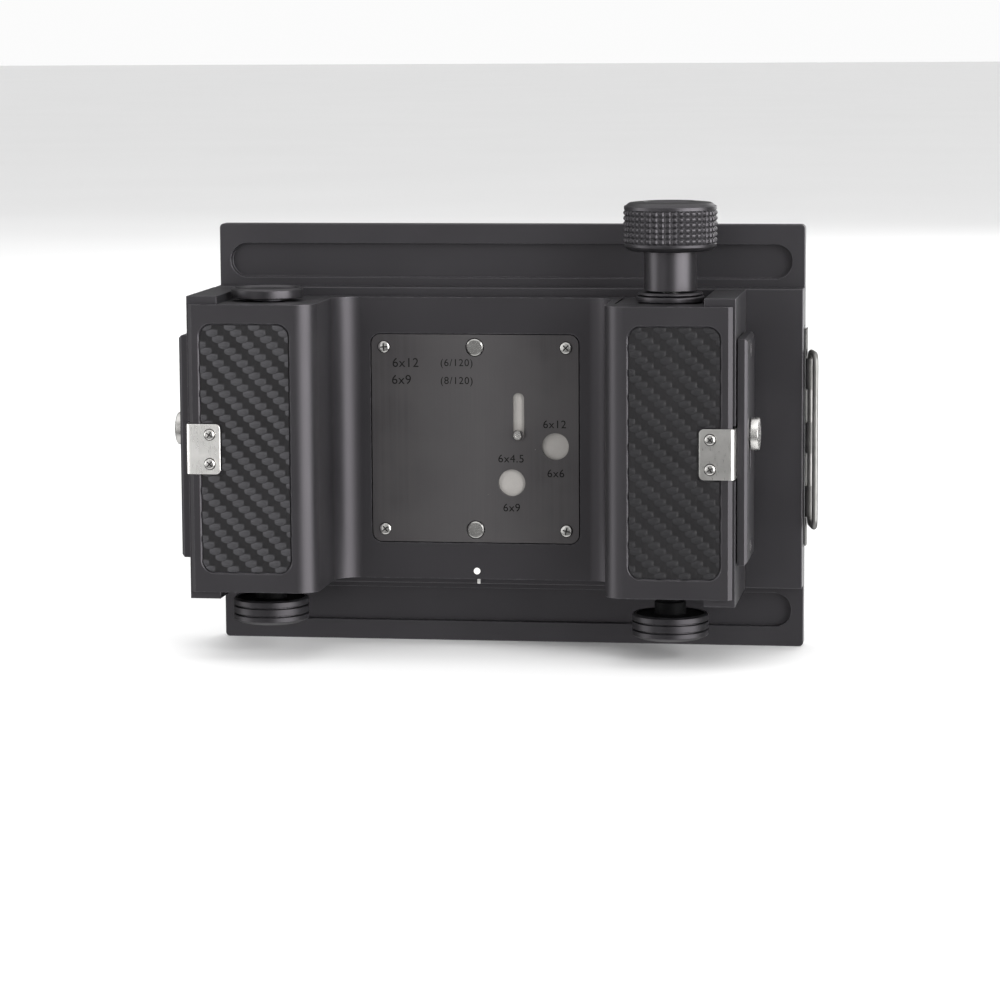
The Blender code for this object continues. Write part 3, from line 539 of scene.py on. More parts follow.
def painted(name, colour, smooth, rough, grain, per_mm, **fixed):
    """A plain paint, plastic or ink with mottled tone and fine texture."""
    made = Finish(name, **fixed)
    cloud = made.noise(0.12, 3)
    fine = made.noise(per_mm)
    mottle = made.times(cloud, made.remap(fine, 0.2, 0.8, 0.6, 1.4))
    mixed = made.mix(mottle, tone(0.84, colour), tone(1.12, colour))
    return made.made_of(mixed, made.spread(fine, smooth, rough), made.bump(fine, grain))


def felt():
    """Short black pile."""
    made = Finish("pile_felt", Sheen_Weight=0.35, Sheen_Roughness=0.6)
    pile = made.noise(9, 4)
    lay = made.noise(0.5, stretch=(1, 1, 4))
    colour = made.mix(made.times(pile, lay), (0.006, 0.006, 0.007, 1), (0.026, 0.025, 0.027, 1))
    return made.made_of(colour, made.spread(lay, 0.85, 0.98), made.bump(pile, 0.05))


def red_film():
    """Clear deep red filter, a little wavy."""
    made = Finish("red_film", IOR=1.49, Transmission_Weight=0.75)
    wave = made.noise(0.4)
    colour = made.mix(wave, (0.42, 0.006, 0.006, 1), (0.6, 0.014, 0.01, 1))
    return made.made_of(colour, made.spread(wave, 0.04, 0.1), made.bump(wave, 0.02))


BLACK = anodised("anodised_black", 0.0125, 0.0175, 0.33, 0.44)
BLACK_COVER = anodised("anodised_cover", 0.0075, 0.012, 0.38, 0.48)
BLACK_TURNED = anodised("anodised_turned", 0.0075, 0.0115, 0.32, 0.4, edge_tone=0.06, grain=0.0009)
# Painted shade: a darker, less glossy copy of the turned anodising for the pull knobs, which sit in
# shade.
BLACK_RIBBED_SHADED = anodised("anodised_ribbed_shaded", 0.0065, 0.01, 0.36, 0.44, edge_tone=0.05, grain=0.0009,
                        ior=1.5)
SATIN_BLACK = anodised("satin_pressure_plate", 0.01, 0.015, 0.42, 0.52, edge_tone=0.06)
STEEL = metal("ground_steel", 0.6, 0.74, 0.19, 0.3, (1, 1, 14))
STEEL_TURNED = metal("turned_steel", 0.6, 0.76, 0.15, 0.26, (1, 8, 1))
# One steel in two tones: the left clip is painted lighter as a painted highlight, and the right
# clip darker as painted shade.
CLIP_STEEL_LIT_AND_SHADED = {"left": metal("clip_steel_painted_highlight", 0.9, 0.98, 0.24, 0.36, (1, 1, 10)),
              "right": metal("clip_steel_painted_shade", 0.53, 0.63, 0.26, 0.38, (1, 1, 10))}
# One steel in two tones: the right button is painted lighter as a painted highlight, and the left
# button darker as painted shade.
BUTTON_STEEL_LIT_AND_SHADED = {"left": metal("button_steel_painted_shade", 0.48, 0.6, 0.22, 0.32, (1, 6, 1)),
                "right": metal("button_steel_painted_highlight", 0.84, 0.94, 0.22, 0.32, (1, 6, 1))}
STUD_STEEL = metal("stud_steel", 0.38, 0.46, 0.2, 0.3, (6, 1, 1))
WIRE = metal("bent_wire", 0.2, 0.27, 0.42, 0.52, (1, 1, 12))
HANDLE = metal("handle_steel", 0.15, 0.2, 0.42, 0.52, (1, 1, 8))
# Painted shade: a dark finish put in screw recesses and in the open rings round screw heads, where
# shade falls.
RECESS_SHADE = painted("recess_painted_shade", (0.02, 0.019, 0.018), 0.55, 0.7, 0.004, 9)
# Painted shadow: a dark matte finish for the neck and top face of the pull knobs, which lie in the
# cover's shadow.
SHADOWED = painted("shaft_painted_shadow", (0.0025, 0.0025, 0.0028), 0.6, 0.7, 0.002, 5,
                   Specular_IOR_Level=0.12)
NAMEPLATE = nameplate_steel()
# One vinyl in two tones: the left skin's floats are painted lighter as painted light, and the right
# skin's darker as painted shade.
VINYL_LIT_AND_SHADED = {"left": twill_vinyl("left", 0.047), "right": twill_vinyl("right", 0.018)}
SHUTTER = painted("shutter_paint", (0.335, 0.32, 0.305), 0.45, 0.58, 0.002, 4)
RED = red_film()
FELT = felt()
SPOOL = painted("moulded_spool", (0.016, 0.016, 0.017), 0.34, 0.46, 0.003, 3, IOR=1.5)
SHEET = painted("slide_enamel", (0.014, 0.0135, 0.015), 0.3, 0.42, 0.0015, 6, IOR=1.55)
WHITE = painted("white_fill", (0.78, 0.77, 0.75), 0.5, 0.6, 0.004, 6)
INK = painted("black_ink", (0.004, 0.004, 0.004), 0.6, 0.7, 0.002, 8, Specular_IOR_Level=0.15)


# ---- mount plate and housing

def build_mount_plate():
    low, high = span("mount_plate")
    groove_left, groove_right, groove_z = -73, 89.1, 49.8
    cuts = []
    for z in (groove_z, -groove_z):
        outline = rounded(((groove_left + groove_right) / 2, z), (groove_right - groove_left) / 2,
                          4.85, 4.8, 14)
        cuts.append(prism(outline, "Y", low.y - 1, low.y + 2.4))
    cuts.append(prism(rounded((0, 0), 58, 30, 2), "Y", -9, 1))
    cuts.append(box((-63, -9, -31.8), (high.x + 1, -2.3, 31.8)))
    cuts.append(box((80, -9, -30.8), (88, -1.1, 30.8)))
    hole = [(1.8, -6), (1.8, -2.4), (3.3, -0.2), (3.3, 1)]
    for x, z in map(spot, HOUSING_SCREWS):
        cuts.append(lathe(hole, "Y", (x, 0, z), SMALL))
    stand_for("mount_plate", sheet("mount_plate", 1.2, 6), BLACK, cuts=cuts, edge=0.28)


def build_housing():
    low, high = span("slide_housing")
    slab = box((low.x, low.y, low.z), (high.x, -5.3, high.z))
    boss = box((-62.7, -6, -31.5), (high.x, high.y, 31.5))
    cuts = [prism(rounded((0, 0), 56, 28, 1, 5), "Y", -20, 0),
            box((-68.5, -20, -32), (68.5, -4.8, 32)),
            box((79.7, -6.6, -30.8), (88.3, 0, 30.8))]
    for _, name in SIDES:
        x, y, _ = middle(f"film_roller_{name}")
        for ends in ((-34.5, -30), (30, 34.5)):
            cuts.append(cylinder(1 + GAP, "Z", (x, y, 0), *ends))
    cuts += drill(1.8, map(spot, HOUSING_SCREWS), (-9.5, 0))
    stand_for("slide_housing", slab, BLACK, cuts=cuts, adds=[boss], edge=0.25)
    mark = prism(rounded((-0.1, -41.85), 0.45, 0.72, 0.2, 4), "Y", low.y - 0.03, low.y + 0.2)
    painted_mark("centre_mark", mark, "holder")
    for node in ("light_trap_front", "light_trap_rear"):
        stand_for(node, box(*span(node)), FELT, edge=0.3, rounds=3)


def painted_mark(name, shape, body):
    """A small patch of white paint."""
    obj = solid(name, shape, WHITE)
    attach(obj, body)


# ---- film body and its works

def build_film_body():
    far = 60
    chamber_z, wall_z, ear_z = 33.25, 38.2, 40.1
    cuts = []
    for end in (-1, 1):
        for height, reach in ((ear_z, 0), (wall_z, -39)):
            floor, roof = sorted((end * height, end * far))
            cuts.append(box((-67.9, -far, floor), (67.9, reach, roof)))
    cuts.append(box((-42.5, -far, -far), (42.5, -14.1, far)))
    cuts.append(box((-42.5, -far, -chamber_z), (42.5, 0, chamber_z)))
    for side in (-1, 1):
        chamber = box((41.5, -far, -chamber_z), (71, -15, chamber_z))
        passage = box((61, -16, -32), (68, 0, 32))
        notch = box((75.4, -far, -7.6), (far * 2, -33, 7.6))
        cuts += [on_side(shape, side) for shape in (chamber, passage, notch)]
    spindle = middle("take_up_spool")
    cuts.append(cylinder(5.3, "Z", (spindle.x, spindle.y, 0), 30, 50))
    cuts.append(cylinder(3.3, "Z", (-spindle.x, spindle.y, 0), 30, 50))
    for side in (-1, 1):
        cuts.append(cylinder(3.7, "Z", (side * spindle.x, spindle.y, 0), -50, -30))
        for level in LEVELS:
            _, y, z = middle(f"catch_plate_screw_right_{level}")
            cuts.append(on_side(cylinder(1.3, "X", (0, y, z), 74.4, 80), side))
    stand_for("film_body", box(*span("film_body")), BLACK, cuts=cuts, edge=0.22)


def build_rollers():
    for _, name in SIDES:
        node = f"film_roller_{name}"
        low, high = span(node)
        radius = (high.x - low.x) / 2
        half = [(radius - 0.35, 28.6), (radius, 29), (radius, 31.5), (radius - 0.2, 31.7),
                (1, 31.7)]
        profile = [(0.8, low.z), (1, low.z + 0.2), *((r, -z) for r, z in half[::-1]), *half,
                   (1, high.z - 0.2), (0.8, high.z)]
        turned(node, profile, STEEL_TURNED, segments=48)


def build_pressure_plate():
    stand_for("pressure_plate", sheet("pressure_plate", 2, 6), SATIN_BLACK,
              cuts=drill(4.45, WINDOWS, (-9, 0), 48), edge=0.3, rounds=3)
    for side, name in SIDES:
        node = f"pressure_spring_{name}"
        low, high = span(node)
        half_span, bow, gauge = high.z, 3, 0.4
        upper, lower = [], []
        for step in range(33):
            z = half_span * (step / 16 - 1)
            y = low.y + bow * (z / half_span) ** 2
            upper.append((y, z))
            lower.append((y + gauge, z))
        near, far = sorted((abs(low.x), abs(high.x)))
        shape = prism(upper + lower[::-1], "X", near, far)
        stand_for(node, on_side(shape, side), STEEL, edge=0.08)


def build_spool():
    low, high = span("take_up_spool")
    x, y, _ = middle("take_up_spool")
    radius, half = (high.x - low.x) / 2, high.z
    flange = half - 1.3
    upper = [(6, flange - 0.4), (6.4, flange), (radius - 0.3, flange), (radius, flange + 0.3),
             (radius, half - 0.3), (radius - 0.3, half)]
    profile = [(r, -z) for r, z in upper[::-1]] + upper
    cuts = [cylinder(3.7, "Z", (x, y, 0), -40, -28.4),
            box((x - 1.2, y - 3.4, 28.6), (x + 1.2, y + 3.4, 40)),
            box((x - 0.7, y - 20, -24), (x + 0.7, y + 20, 24))]
    turned("take_up_spool", profile, SPOOL, cuts=cuts)


# ---- back cover

def cover_section(low, high):
    crest_radius, fillet_radius, wall_x, valley, bevel = 6, 7.6, 40.2, -18, 1.1
    crest = (wall_x + crest_radius, low.y + crest_radius)
    fillet = (wall_x - fillet_radius, valley - fillet_radius)
    outer = [(high.x, low.y + 1.8), (high.x, low.y + bevel), (high.x - bevel, low.y)]
    outer += arc(crest, crest_radius, 270, 180, 20)
    outer += arc(fillet, fillet_radius, 0, 90, 24)
    inner = [(67.6, low.y + 1.8), (67.6, -39.3), (42.2, -39.3), (42.2, high.y)]
    left = [(-x, y) for x, y in reversed(outer)]
    left_inner = [(-x, y) for x, y in inner]
    return tidy_outline(outer + left + left_inner + inner[::-1])


def inset_outline(side, grow):
    low, high = span("leatherette_left")
    mid = abs(low.x + high.x) / 2
    half_x, half_z = (high.x - low.x) / 2 + INSET, high.z + INSET
    return rounded((side * mid, 0), half_x + grow, half_z + grow, 3.6 + grow, 12)


def build_cover():
    low, high = span("back_cover")
    shape = prism(cover_section(low, high), "Z", low.z, high.z)
    cuts = []
    for side in (-1, 1):
        pocket = box((42.2, low.y + 1.8, -38.5), (71.9, 0, 38.5))
        cuts.append(on_side(pocket, side))
        cuts.append(prism(inset_outline(side, 0), "Y", low.y - 10, low.y + 0.8))
        cuts.append(prism(inset_outline(side, DRAFT), "Y", low.y - 0.05, low.y + DRAFT - 0.05,
                          far=inset_outline(side, 0)))
        for level in LEVELS:
            x, _, z = middle(f"clip_screw_right_{level}")
            cuts.append(cylinder(1, "Y", (side * x, low.y, z), -5, 1.4))
    half = span("nameplate")[1].x + GAP
    cuts.append(prism(rounded((0, 0), half, half, 2.9, 10), "Y", low.y + 20, -16.1))
    for window in WINDOWS:
        cuts += drill(2.9, [window], (-20, -10), 48) + drill(4.7, [window], (-15.2, -10), 48)
    cuts += drill(1.8, STUDS, (-20, -10)) + drill(1.15, PLATE_SCREWS, (-20, -14.9))
    stand_for("back_cover", shape, BLACK_COVER, cuts=cuts, edge=0.42)
    dot = lathe([(0.95, -0.05), (0.85, 0.2)], "Y", (0.3, -18, -38), 40)
    painted_mark("cover_dot", dot, "back_cover")


def twill_height(u, v):
    """Relief of a 2/2 twill at u across and v up, in tows: 0 in the valleys to 1 on the crowns."""
    def belly(row):
        return BELLY * np.maximum(0, np.sin((u + row) * np.pi / 2))

    row = np.floor(v)
    row = row + (v + belly(row + 1) > row + 1)
    along_u = u - np.floor(u)
    along_v = np.clip((v + belly(row) - row) / (1 + belly(row)), 0, 1)
    phase = np.mod(np.floor(u) + row, 4)
    run_u = np.where(phase == 0, along_u, along_u + 1) / 2
    run_v = np.where(phase == 2, along_v, along_v + 1) / 2
    weft = np.sin(np.pi * np.clip(run_u, 0, 1)) ** 0.5 * np.sin(np.pi * along_v) ** 0.4
    warp = np.sin(np.pi * np.clip(run_v, 0, 1)) ** 0.5 * np.sin(np.pi * along_u) ** 0.5
    return np.where(phase < 2, weft, 0.25 * warp)


def build_leatherette():
    step, relief = 0.22, 0.34
    for side, name in SIDES:
        node = f"leatherette_{name}"
        low, high = span(node)
        xs = np.arange(low.x - step, high.x + 2 * step, step)
        zs = np.arange(low.z - step, high.z + 2 * step, step)
        grid_x, grid_z = np.meshgrid(xs, zs)
        lift = twill_height((grid_x - low.x) / TOW, (grid_z - low.z) / TOW)
        rear = low.y + relief - relief * lift
        top = np.stack([grid_x, rear, grid_z], -1).reshape(-1, 3)
        base = np.stack([grid_x, np.full_like(rear, high.y), grid_z], -1).reshape(-1, 3)
        count = grid_x.size
        index = np.arange(count).reshape(grid_x.shape)
        quads = np.stack([index[:-1, :-1], index[:-1, 1:], index[1:, 1:], index[1:, :-1]],
                         -1).reshape(-1, 4)
        rim = np.concatenate([index[0, :-1], index[:-1, -1], index[-1, :0:-1], index[:0:-1, 0]])
        after = np.roll(rim, -1)
        sides = np.stack([rim, rim + count, after + count, after], -1)
        faces = np.concatenate([quads, quads[:, ::-1] + count, sides])
        mesh = bpy.data.meshes.new(node)
        mesh.from_pydata(np.concatenate([top, base]).tolist(), [], faces.tolist())
        shape = bmesh.new()
        shape.from_mesh(mesh)
        bpy.data.meshes.remove(mesh)
        closed(shape)
        trim = prism(inset_outline(side, -INSET), "Y", low.y - 1, high.y + 1)
        clip_gap = box((66.5, -60, -7.3), (90, -40, 7.3))
        stand_for(node, shape, VINYL_LIT_AND_SHADED[name], cuts=[on_side(clip_gap, side)], keeps=[trim], smooth=50)


def phillips(node, axis, seat, height, radius, shank, tail, turn_deg):
    """A pan-head Phillips screw: seat is where the head sits, height its signed thickness."""
    along = "XYZ".index(axis)
    place = middle(node)
    place[along] = 0
    crown = [(shank, tail), (shank, seat), (radius, seat), (radius, seat + 0.45 * height),
             (0.95 * radius, seat + 0.7 * height), (0.8 * radius, seat + 0.9 * height),
             (0.55 * radius, seat + height)]
    shape = lathe(crown, axis, place, 40)
    top = Vector(place)
    top[along] = seat + height
    blades = cross_cut(top, axis, 0.66 * radius, 0.75 * abs(height), turn_deg)
    if height > 0:
        flip = shift(top) @ rotation(180, "X" if axis != "X" else "Y")
        for blade in blades:
            moved(blade, flip @ shift(-top))
    screw = stand_for(node, shape, STEEL_TURNED, cuts=blades, smooth=30)

    def in_recess(point):
        away = point - top
        depth = abs(away[along]) / abs(height)
        away[along] = 0
        return 0.12 < depth < 0.9 and away.length < 0.72 * radius

    # Painted shade: the faces inside the cross recess get the dark recess finish.
    refinish(screw, RECESS_SHADE, in_recess)


def paint_seat_shade(obj, seats, head, rear):
    """Painted shade in the shallow ring left open round each screw head."""
    def in_ring(point):
        nearest = min(dist((point.x, point.z), seat) for seat in seats)
        return nearest < head + RING + 0.02 and rear + 0.03 < point.y < rear + 0.23

    refinish(obj, RECESS_SHADE, in_ring)


def build_clips():
    for side, name in SIDES:
        node = f"catch_clip_{name}"
        low, high = span(node)
        inner_x, outer_x = sorted((abs(low.x), abs(high.x)))
        rear, gauge, bend, half = low.y, 0.5, 1.3, high.z
        outer = arc((outer_x - bend, rear + bend), bend, 270, 360, 10)
        inside = arc((outer_x - bend, rear + bend), bend - gauge, 360, 270, 10)
        outline = [(inner_x, rear), *outer, (outer_x, high.y), (outer_x - gauge, high.y), *inside,
                   (inner_x, rear + gauge)]
        plate = prism(tidy_outline(outline), "Z", -half, half)
        cuts, seats = [], []
        for level in LEVELS:
            seats.append(spot(f"clip_screw_{name}_{level}"))
            cuts += drill(0.9, seats[-1:], THROUGH_CLIP)
            cuts += drill(CLIP_HEAD + RING, seats[-1:], (THROUGH_CLIP[0], rear + 0.2))
        cuts.append(on_side(box((70, -42, -2), (90, -38, 5)), side))
        turn = 1.3
        for end in (-1, 1):
            corner = [(inner_x - 1, end * (half + 1)), (inner_x - 1, end * (half - turn))]
            corner += [(inner_x + turn - turn * cos(t), end * (half - turn + turn * sin(t)))
                       for t in (radians(10 * k) for k in range(10))]
            corner.append((inner_x + turn, end * (half + 1)))
            cuts.append(on_side(prism(corner, "Y", *THROUGH_CLIP), side))
        clip = stand_for(node, on_side(plate, side), CLIP_STEEL_LIT_AND_SHADED[name], cuts=cuts, edge=0.1)
        paint_seat_shade(clip, seats, CLIP_HEAD, rear)
        for level, turn_deg in (("upper", 40), ("lower", 52)):
            phillips(f"clip_screw_{name}_{level}", "Y", rear - 0.02, -0.66, CLIP_HEAD, 0.6, -49.2,
                     turn_deg + 7 * side)


def label(name, text, x, z, height, spread):
    """Black printed size mark on the nameplate, centred at x, z; height is a capital's."""
    curve = put(bpy.data.curves.new(name, "FONT"), body=text, align_x="CENTER", align_y="CENTER",
                size=height / 0.69 * MM, space_character=spread, extrude=0.02 * MM)
    obj = add_object(name, curve)
    rear = span("nameplate")[0].y
    obj.matrix_world = shift(Vector((x, rear - 0.01, z)) * MM) @ rotation(90, "X")
    mesh = evaluated_mesh(obj)
    mesh.transform(obj.matrix_world)
    bpy.data.objects.remove(obj)
    mesh.materials.clear()
    mesh.materials.append(INK)
    made = add_object(name, mesh)
    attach(made, "back_cover")


def build_nameplate():
    low = span("nameplate")[0]
    slot = rounded((12.5, 6.45), 1.6, 6.75, 1.59, 10)
    cuts = [prism(slot, "Y", *THROUGH_PLATE)]
    cuts += drill(3.85, WINDOWS, THROUGH_PLATE, 64) + drill(2.65, STUDS, THROUGH_PLATE, 48)
    for screw in PLATE_SCREWS:
        cuts += drill(1.15, [screw], THROUGH_PLATE)
        cuts += drill(PLATE_HEAD + RING, [screw], (THROUGH_PLATE[0], low.y + 0.2))
    plate = stand_for("nameplate", sheet("nameplate", 2.6, 12), NAMEPLATE, cuts=cuts, edge=0.12)
    paint_seat_shade(plate, PLATE_SCREWS, PLATE_HEAD, low.y)
    stud = [(1.5, -8.2), (1.5, -16.5), (2.45, -16.5), (2.45, -18.05), (2.38, -18.22),
            (2.05, -18.44), (1.92, -18.44)]
    for turn_deg, level in ((20, "upper"), (-12, "lower")):
        for side, name in SIDES:
            phillips(f"nameplate_screw_{level}_{name}", "Y", low.y - 0.02, -0.62, PLATE_HEAD,
                     0.85, -15.2, turn_deg + 25 * side)
        turned(f"pressure_stud_{level}", stud, STUD_STEEL, "Y", 64, smooth=20)
    for number in (1, 2):
        node = f"window_filter_{number}"
        rear, front = span(node)
        turned(node, [(4.4, rear.y), (4.4, front.y)], RED, "Y", 64, edge=0.06)
    (upper_x, _), (lower_x, _) = WINDOWS
    for name, text, x, z, height, spread in (
            ("rows_wide", "6x12", -19.9, 21.5, 2.55, 1.06),
            ("rows_medium", "6x9", -21.1, 16.65, 2.55, 1.06),
            ("count_wide", "(6/120)", -5.2, 21.6, 2, 1.12),
            ("count_medium", "(8/120)", -5.2, 16.5, 2, 1.12),
            ("window_1_above", "6x12", upper_x - 0.2, 4.25, 2.2, 1.08),
            ("window_1_below", "6x6", upper_x + 0.1, -9.75, 2.2, 1.08),
            ("window_2_above", "6x4.5", lower_x - 0.2, -5.65, 2.2, 1.08),
            ("window_2_below", "6x9", lower_x - 0.1, -19.7, 2.2, 1.08)):
        label(f"label_{name}", text, x, z, height, spread)


def build_shutter():
    low, high = span("shutter_plate")
    outline = ((5.5, -27.5), (15.5, -27.5), (15.5, -17.5), (28.2, -17.5), (28.2, 14.2), (5.5, 14.2))
    travel = 10
    cuts = drill(4.15, [(x, z - travel) for x, z in WINDOWS], THROUGH_PLATE, 48)
    cuts += drill(0.9, [spot("shutter_pin")], THROUGH_PLATE)
    stand_for("shutter_plate", prism(outline, "Y", low.y, high.y), SHUTTER, cuts=cuts, edge=0.06)
    pin_low, pin_high = span("shutter_pin")
    profile = [(0.6, pin_high.y), (0.6, -17.2), (1.1, -17.2), (1.1, -18.5), (1.35, -18.6),
               (1.55, -18.85), (1.55, -20.2), (1.42, -20.5), (1.1, pin_low.y),
               (0.62, pin_low.y), (0.55, -20.72)]
    turned("shutter_pin", profile, STEEL_TURNED, "Y", 48)


# ---- knobs

def build_wind():
    x, y, _ = middle("wind_knob")
    axis = (x, y, 0)
    low, high = span("wind_collar")
    collar = rise(low.z, (9.1, 0), (9.45, 0.3))
    collar += rise(high.z, (9.55, -0.45), (9.4, -0.15), (9.1, 0))
    stand_for("wind_collar", lathe(collar, "Z", axis, bore=5.3), BLACK_TURNED)
    low, high = span("wind_ratchet")
    ring = [(4.8, low.z), (5, low.z + 0.2), (5, 42.35), (8.9, 42.35), (9.1, 42.5),
            (9.1, 42.75), (8.85, high.z - 0.05), (8.5, high.z)]
    stand_for("wind_ratchet", lathe(ring, "Z", axis, bore=3.3), BLACK_TURNED)

    low, high = span("wind_knob")
    columns, rows, depth = 43, 6, 0.52
    foot, start, end = high.z - 13.6, high.z - 11.45, high.z - 2.4
    base = (high.x - low.x) / 2 - depth

    def pyramids(angle, height, radius):
        """Knurl on the band of the profile that lies at the base radius."""
        if abs(radius - base) > 1e-6:
            return 0
        u = angle / (2 * pi) * columns % 1
        v = (height - start) / (end - start) * rows % 1
        peak = min(1 - abs(2 * u - 1), 1 - abs(2 * v - 1))
        return depth * min(1, 1.35 * peak)

    profile = rise(low.z, (7, 0), (7.3, 0.25))
    profile += rise(foot, (7.3, -0.35), (7.6, 0), (11.3, 0), (11.8, 0.2), (12.45, 0.75),
                    (12.8, 1.25))
    profile.append((12.85, start - 0.25))
    profile += [(base, start + (end - start) * k / (rows * 4)) for k in range(rows * 4 + 1)]
    profile += rise(end, (12.85, 0.15), (12.85, 1), (12.65, 1.22), (12.35, 1.28))
    profile += rise(high.z, (11.7, -0.55), (11.2, -0.32), (7.7, 0), (7.3, -0.08), (6.2, -1.05),
                    (5.8, -1.2), (0, -1.2))
    hollow = cylinder(3.3, "Z", axis, 40, 50.3)
    stand_for("wind_knob", lathe(profile, "Z", axis, columns * 4, relief=pyramids), BLACK_TURNED,
              cuts=[hollow], smooth=24)
    low, high = span("wind_shaft")
    shaft = lathe([(3, 33), (3, high.z - 0.3), (2.7, high.z)], "Z", axis, 48)
    key = box((x - 0.75, y - 2.7, low.z), (x + 0.75, y + 2.7, 34))
    stand_for("wind_shaft", shaft, STEEL_TURNED, adds=[key], edge=0.1)


def build_supply_cap():
    low, high = span("supply_cap")
    radius = (high.x - low.x) / 2
    profile = [(2.6, low.z), (3, low.z + 0.6), (3, 40.4), (6, 40.4), (6, 41.1),
               (radius - 0.3, 41), (radius, 41.3)]
    profile += rise(high.z - 0.45, (radius, -0.5), (radius - 0.08, -0.36), (radius - 0.42, -0.04),
                    (radius - 0.55, 0), (radius - 1.1, 0), (radius - 1.6, -0.5), (0, -0.5))
    turned("supply_cap", profile, BLACK_TURNED, smooth=24)


def build_pull_knobs():
    for name in ("supply", "take_up"):
        node = f"{name}_pull_knob"
        low, high = span(node)
        centre = middle(node).xy
        radius, height = (high.x - low.x) / 2, 7
        top = low.z + height
        profile = rise(low.z, (0, 0.5), (5, 0.5), (5.2, 0), (8.7, 0), (radius - 0.15, 0.9),
                       (radius, 1.1))
        for number in (1, 2):
            groove = low.z + number * (height / 3) + 0.25
            profile += rise(groove, (radius, -0.36), (radius - 0.12, -0.24), (radius - 1.1, -0.2),
                            (radius - 1.1, 0.2), (radius - 0.12, 0.24), (radius, 0.36))
        profile += rise(top, (radius, -0.45), (radius - 0.45, 0), (radius - 1.2, 0),
                        (radius - 1.5, -0.4), (4.7, -0.4), (4.4, -0.1))
        profile += rise(top + 3.5, (4.4, -0.3), (4.1, 0), (3.4, 0))
        profile += rise(high.z, (3.4, -0.7), (2.7, 0))
        knob = turned(node, profile, BLACK_RIBBED_SHADED, smooth=24)
        # Painted shadow on the top face and neck, under the cover.
        refinish(knob, SHADOWED, lambda point: point.z > top - 0.45
                 and dist(point.xy, centre) < radius - 1.2)


# ---- catches

def build_catches():
    for side, name in SIDES:
        node = f"catch_plate_{name}"
        low, high = span(node)
        near, far = sorted((abs(low.x), abs(high.x)))
        _, button_y, button_z = middle(f"catch_button_{name}")
        bevel = 0.8
        outline = [(near, low.y), (far - bevel, low.y), (far, low.y + bevel), (far, high.y - bevel),
                   (far - bevel, high.y), (near, high.y)]
        cuts = [box((near - 1, -40, -13), (near + 1.3, -26, 13)),
                prism(rounded((button_y, button_z - 4.2), 2.3, 6.6, 2.28, 12), "X", near - 1,
                      far + 1)]
        for level in LEVELS:
            _, y, z = middle(f"catch_plate_screw_{name}_{level}")
            hole = [(1.35, -3), (1.35, -GAP), (2.2, -GAP), (2.2, 3)]
            cuts.append(lathe(hole, "X", (far - 0.9, y, z), 40))
        for end in (-1, 1):
            ramp = [(far - bevel, end * high.z), (far + 1, end * (high.z - bevel - 1)),
                    (far + 1, end * (high.z + 1)), (far - bevel, end * (high.z + 1))]
            cuts.append(prism(ramp, "Y", -60, -10))
        plate = prism(outline, "Z", low.z, high.z)
        stand_for(node, on_side(plate, side), BLACK, cuts=[on_side(cut, side) for cut in cuts],
                  edge=0.12)
        for level, turn in (("upper", 15), ("lower", 60)):
            seat = side * (far - 0.9)
            phillips(f"catch_plate_screw_{name}_{level}", "X", seat, side * 0.9, 1.9, 1,
                     side * (far - 4.8), turn)
        slider = f"catch_slider_{name}"
        stand_for(slider, box(*span(slider)), STEEL, edge=0.15)
        profile = [(1.9, near + 1.3)]
        profile += rise(far, (1.9, 0.3), (4.45, 0.3), (4.6, 0.45), (4.6, 2.1), (4.5, 2.4),
                        (4.2, 2.62), (3.9, 2.7), (0, 2.7))
        button = lathe(profile, "X", (0, button_y, button_z), 80)
        stand_for(f"catch_button_{name}", on_side(button, side), BUTTON_STEEL_LIT_AND_SHADED[name], smooth=30)


# ---- dark slide

def wire_loop(hinge, tip, half_height, corner, wire, sides=20):
    """A closed wire rectangle from its hinge axis to its tip, both parallel to Z."""
    reach = (tip - hinge).length
    out = (tip - hinge) / reach
    across = Vector((-out.y, out.x, 0))
    outline = rounded((reach / 2, 0), reach / 2, half_height, corner, 10)
    shape = bmesh.new()
    rings = []
    for i, (u, z) in enumerate(outline):
        before, after = Vector(outline[i - 1]), Vector(outline[(i + 1) % len(outline)])
        tangent = (after - before).normalized()
        ring = []
        for k in range(sides):
            angle = 2 * pi * k / sides
            swell = wire * cos(angle)
            place = hinge + out * (u + tangent.y * swell) + across * (wire * sin(angle))
            place.z = z - tangent.x * swell
            ring.append(shape.verts.new(place))
        rings.append(ring)
    for i, first in enumerate(rings):
        skin(shape, first, rings[(i + 1) % len(rings)])
    return closed(shape)


def build_dark_slide():
    stand_for("dark_slide_blade", sheet("dark_slide_blade", 1, 5), SHEET, edge=0.12)
    wire, bore, eye = 0.85, 1.1, 1.45
    bail_low, bail_high = span("dark_slide_bail")
    hinge = Vector((bail_low.x + wire, bail_high.y - wire, 0))
    tip = Vector((bail_high.x - wire, bail_low.y + wire, 0))
    handle_low, handle_high = span("dark_slide_handle")
    bar = prism(rounded((handle_low.x + 0.25, (handle_low.y + handle_high.y) / 2 + 0.4), 0.25,
                        (handle_high.y - handle_low.y) / 2 - 0.4, 0.24, 5),
                "Z", handle_low.z, handle_high.z)
    eyes = []
    for z in (-18.2, 0, 18.2):
        profile = [(eye - 0.1, z - 4.4), (eye, z - 4.3), (eye, z + 4.3), (eye - 0.1, z + 4.4)]
        eyes.append(lathe(profile, "Z", hinge, 40))
    reach = bail_high.z + GAP
    groove = cylinder(bore, "Z", hinge, -reach, reach, 40)
    stand_for("dark_slide_handle", bar, HANDLE, cuts=[groove], adds=eyes, smooth=30)
    loop = wire_loop(hinge, tip, bail_high.z - wire, 2.2, wire)
    stand_for("dark_slide_bail", loop, WIRE)


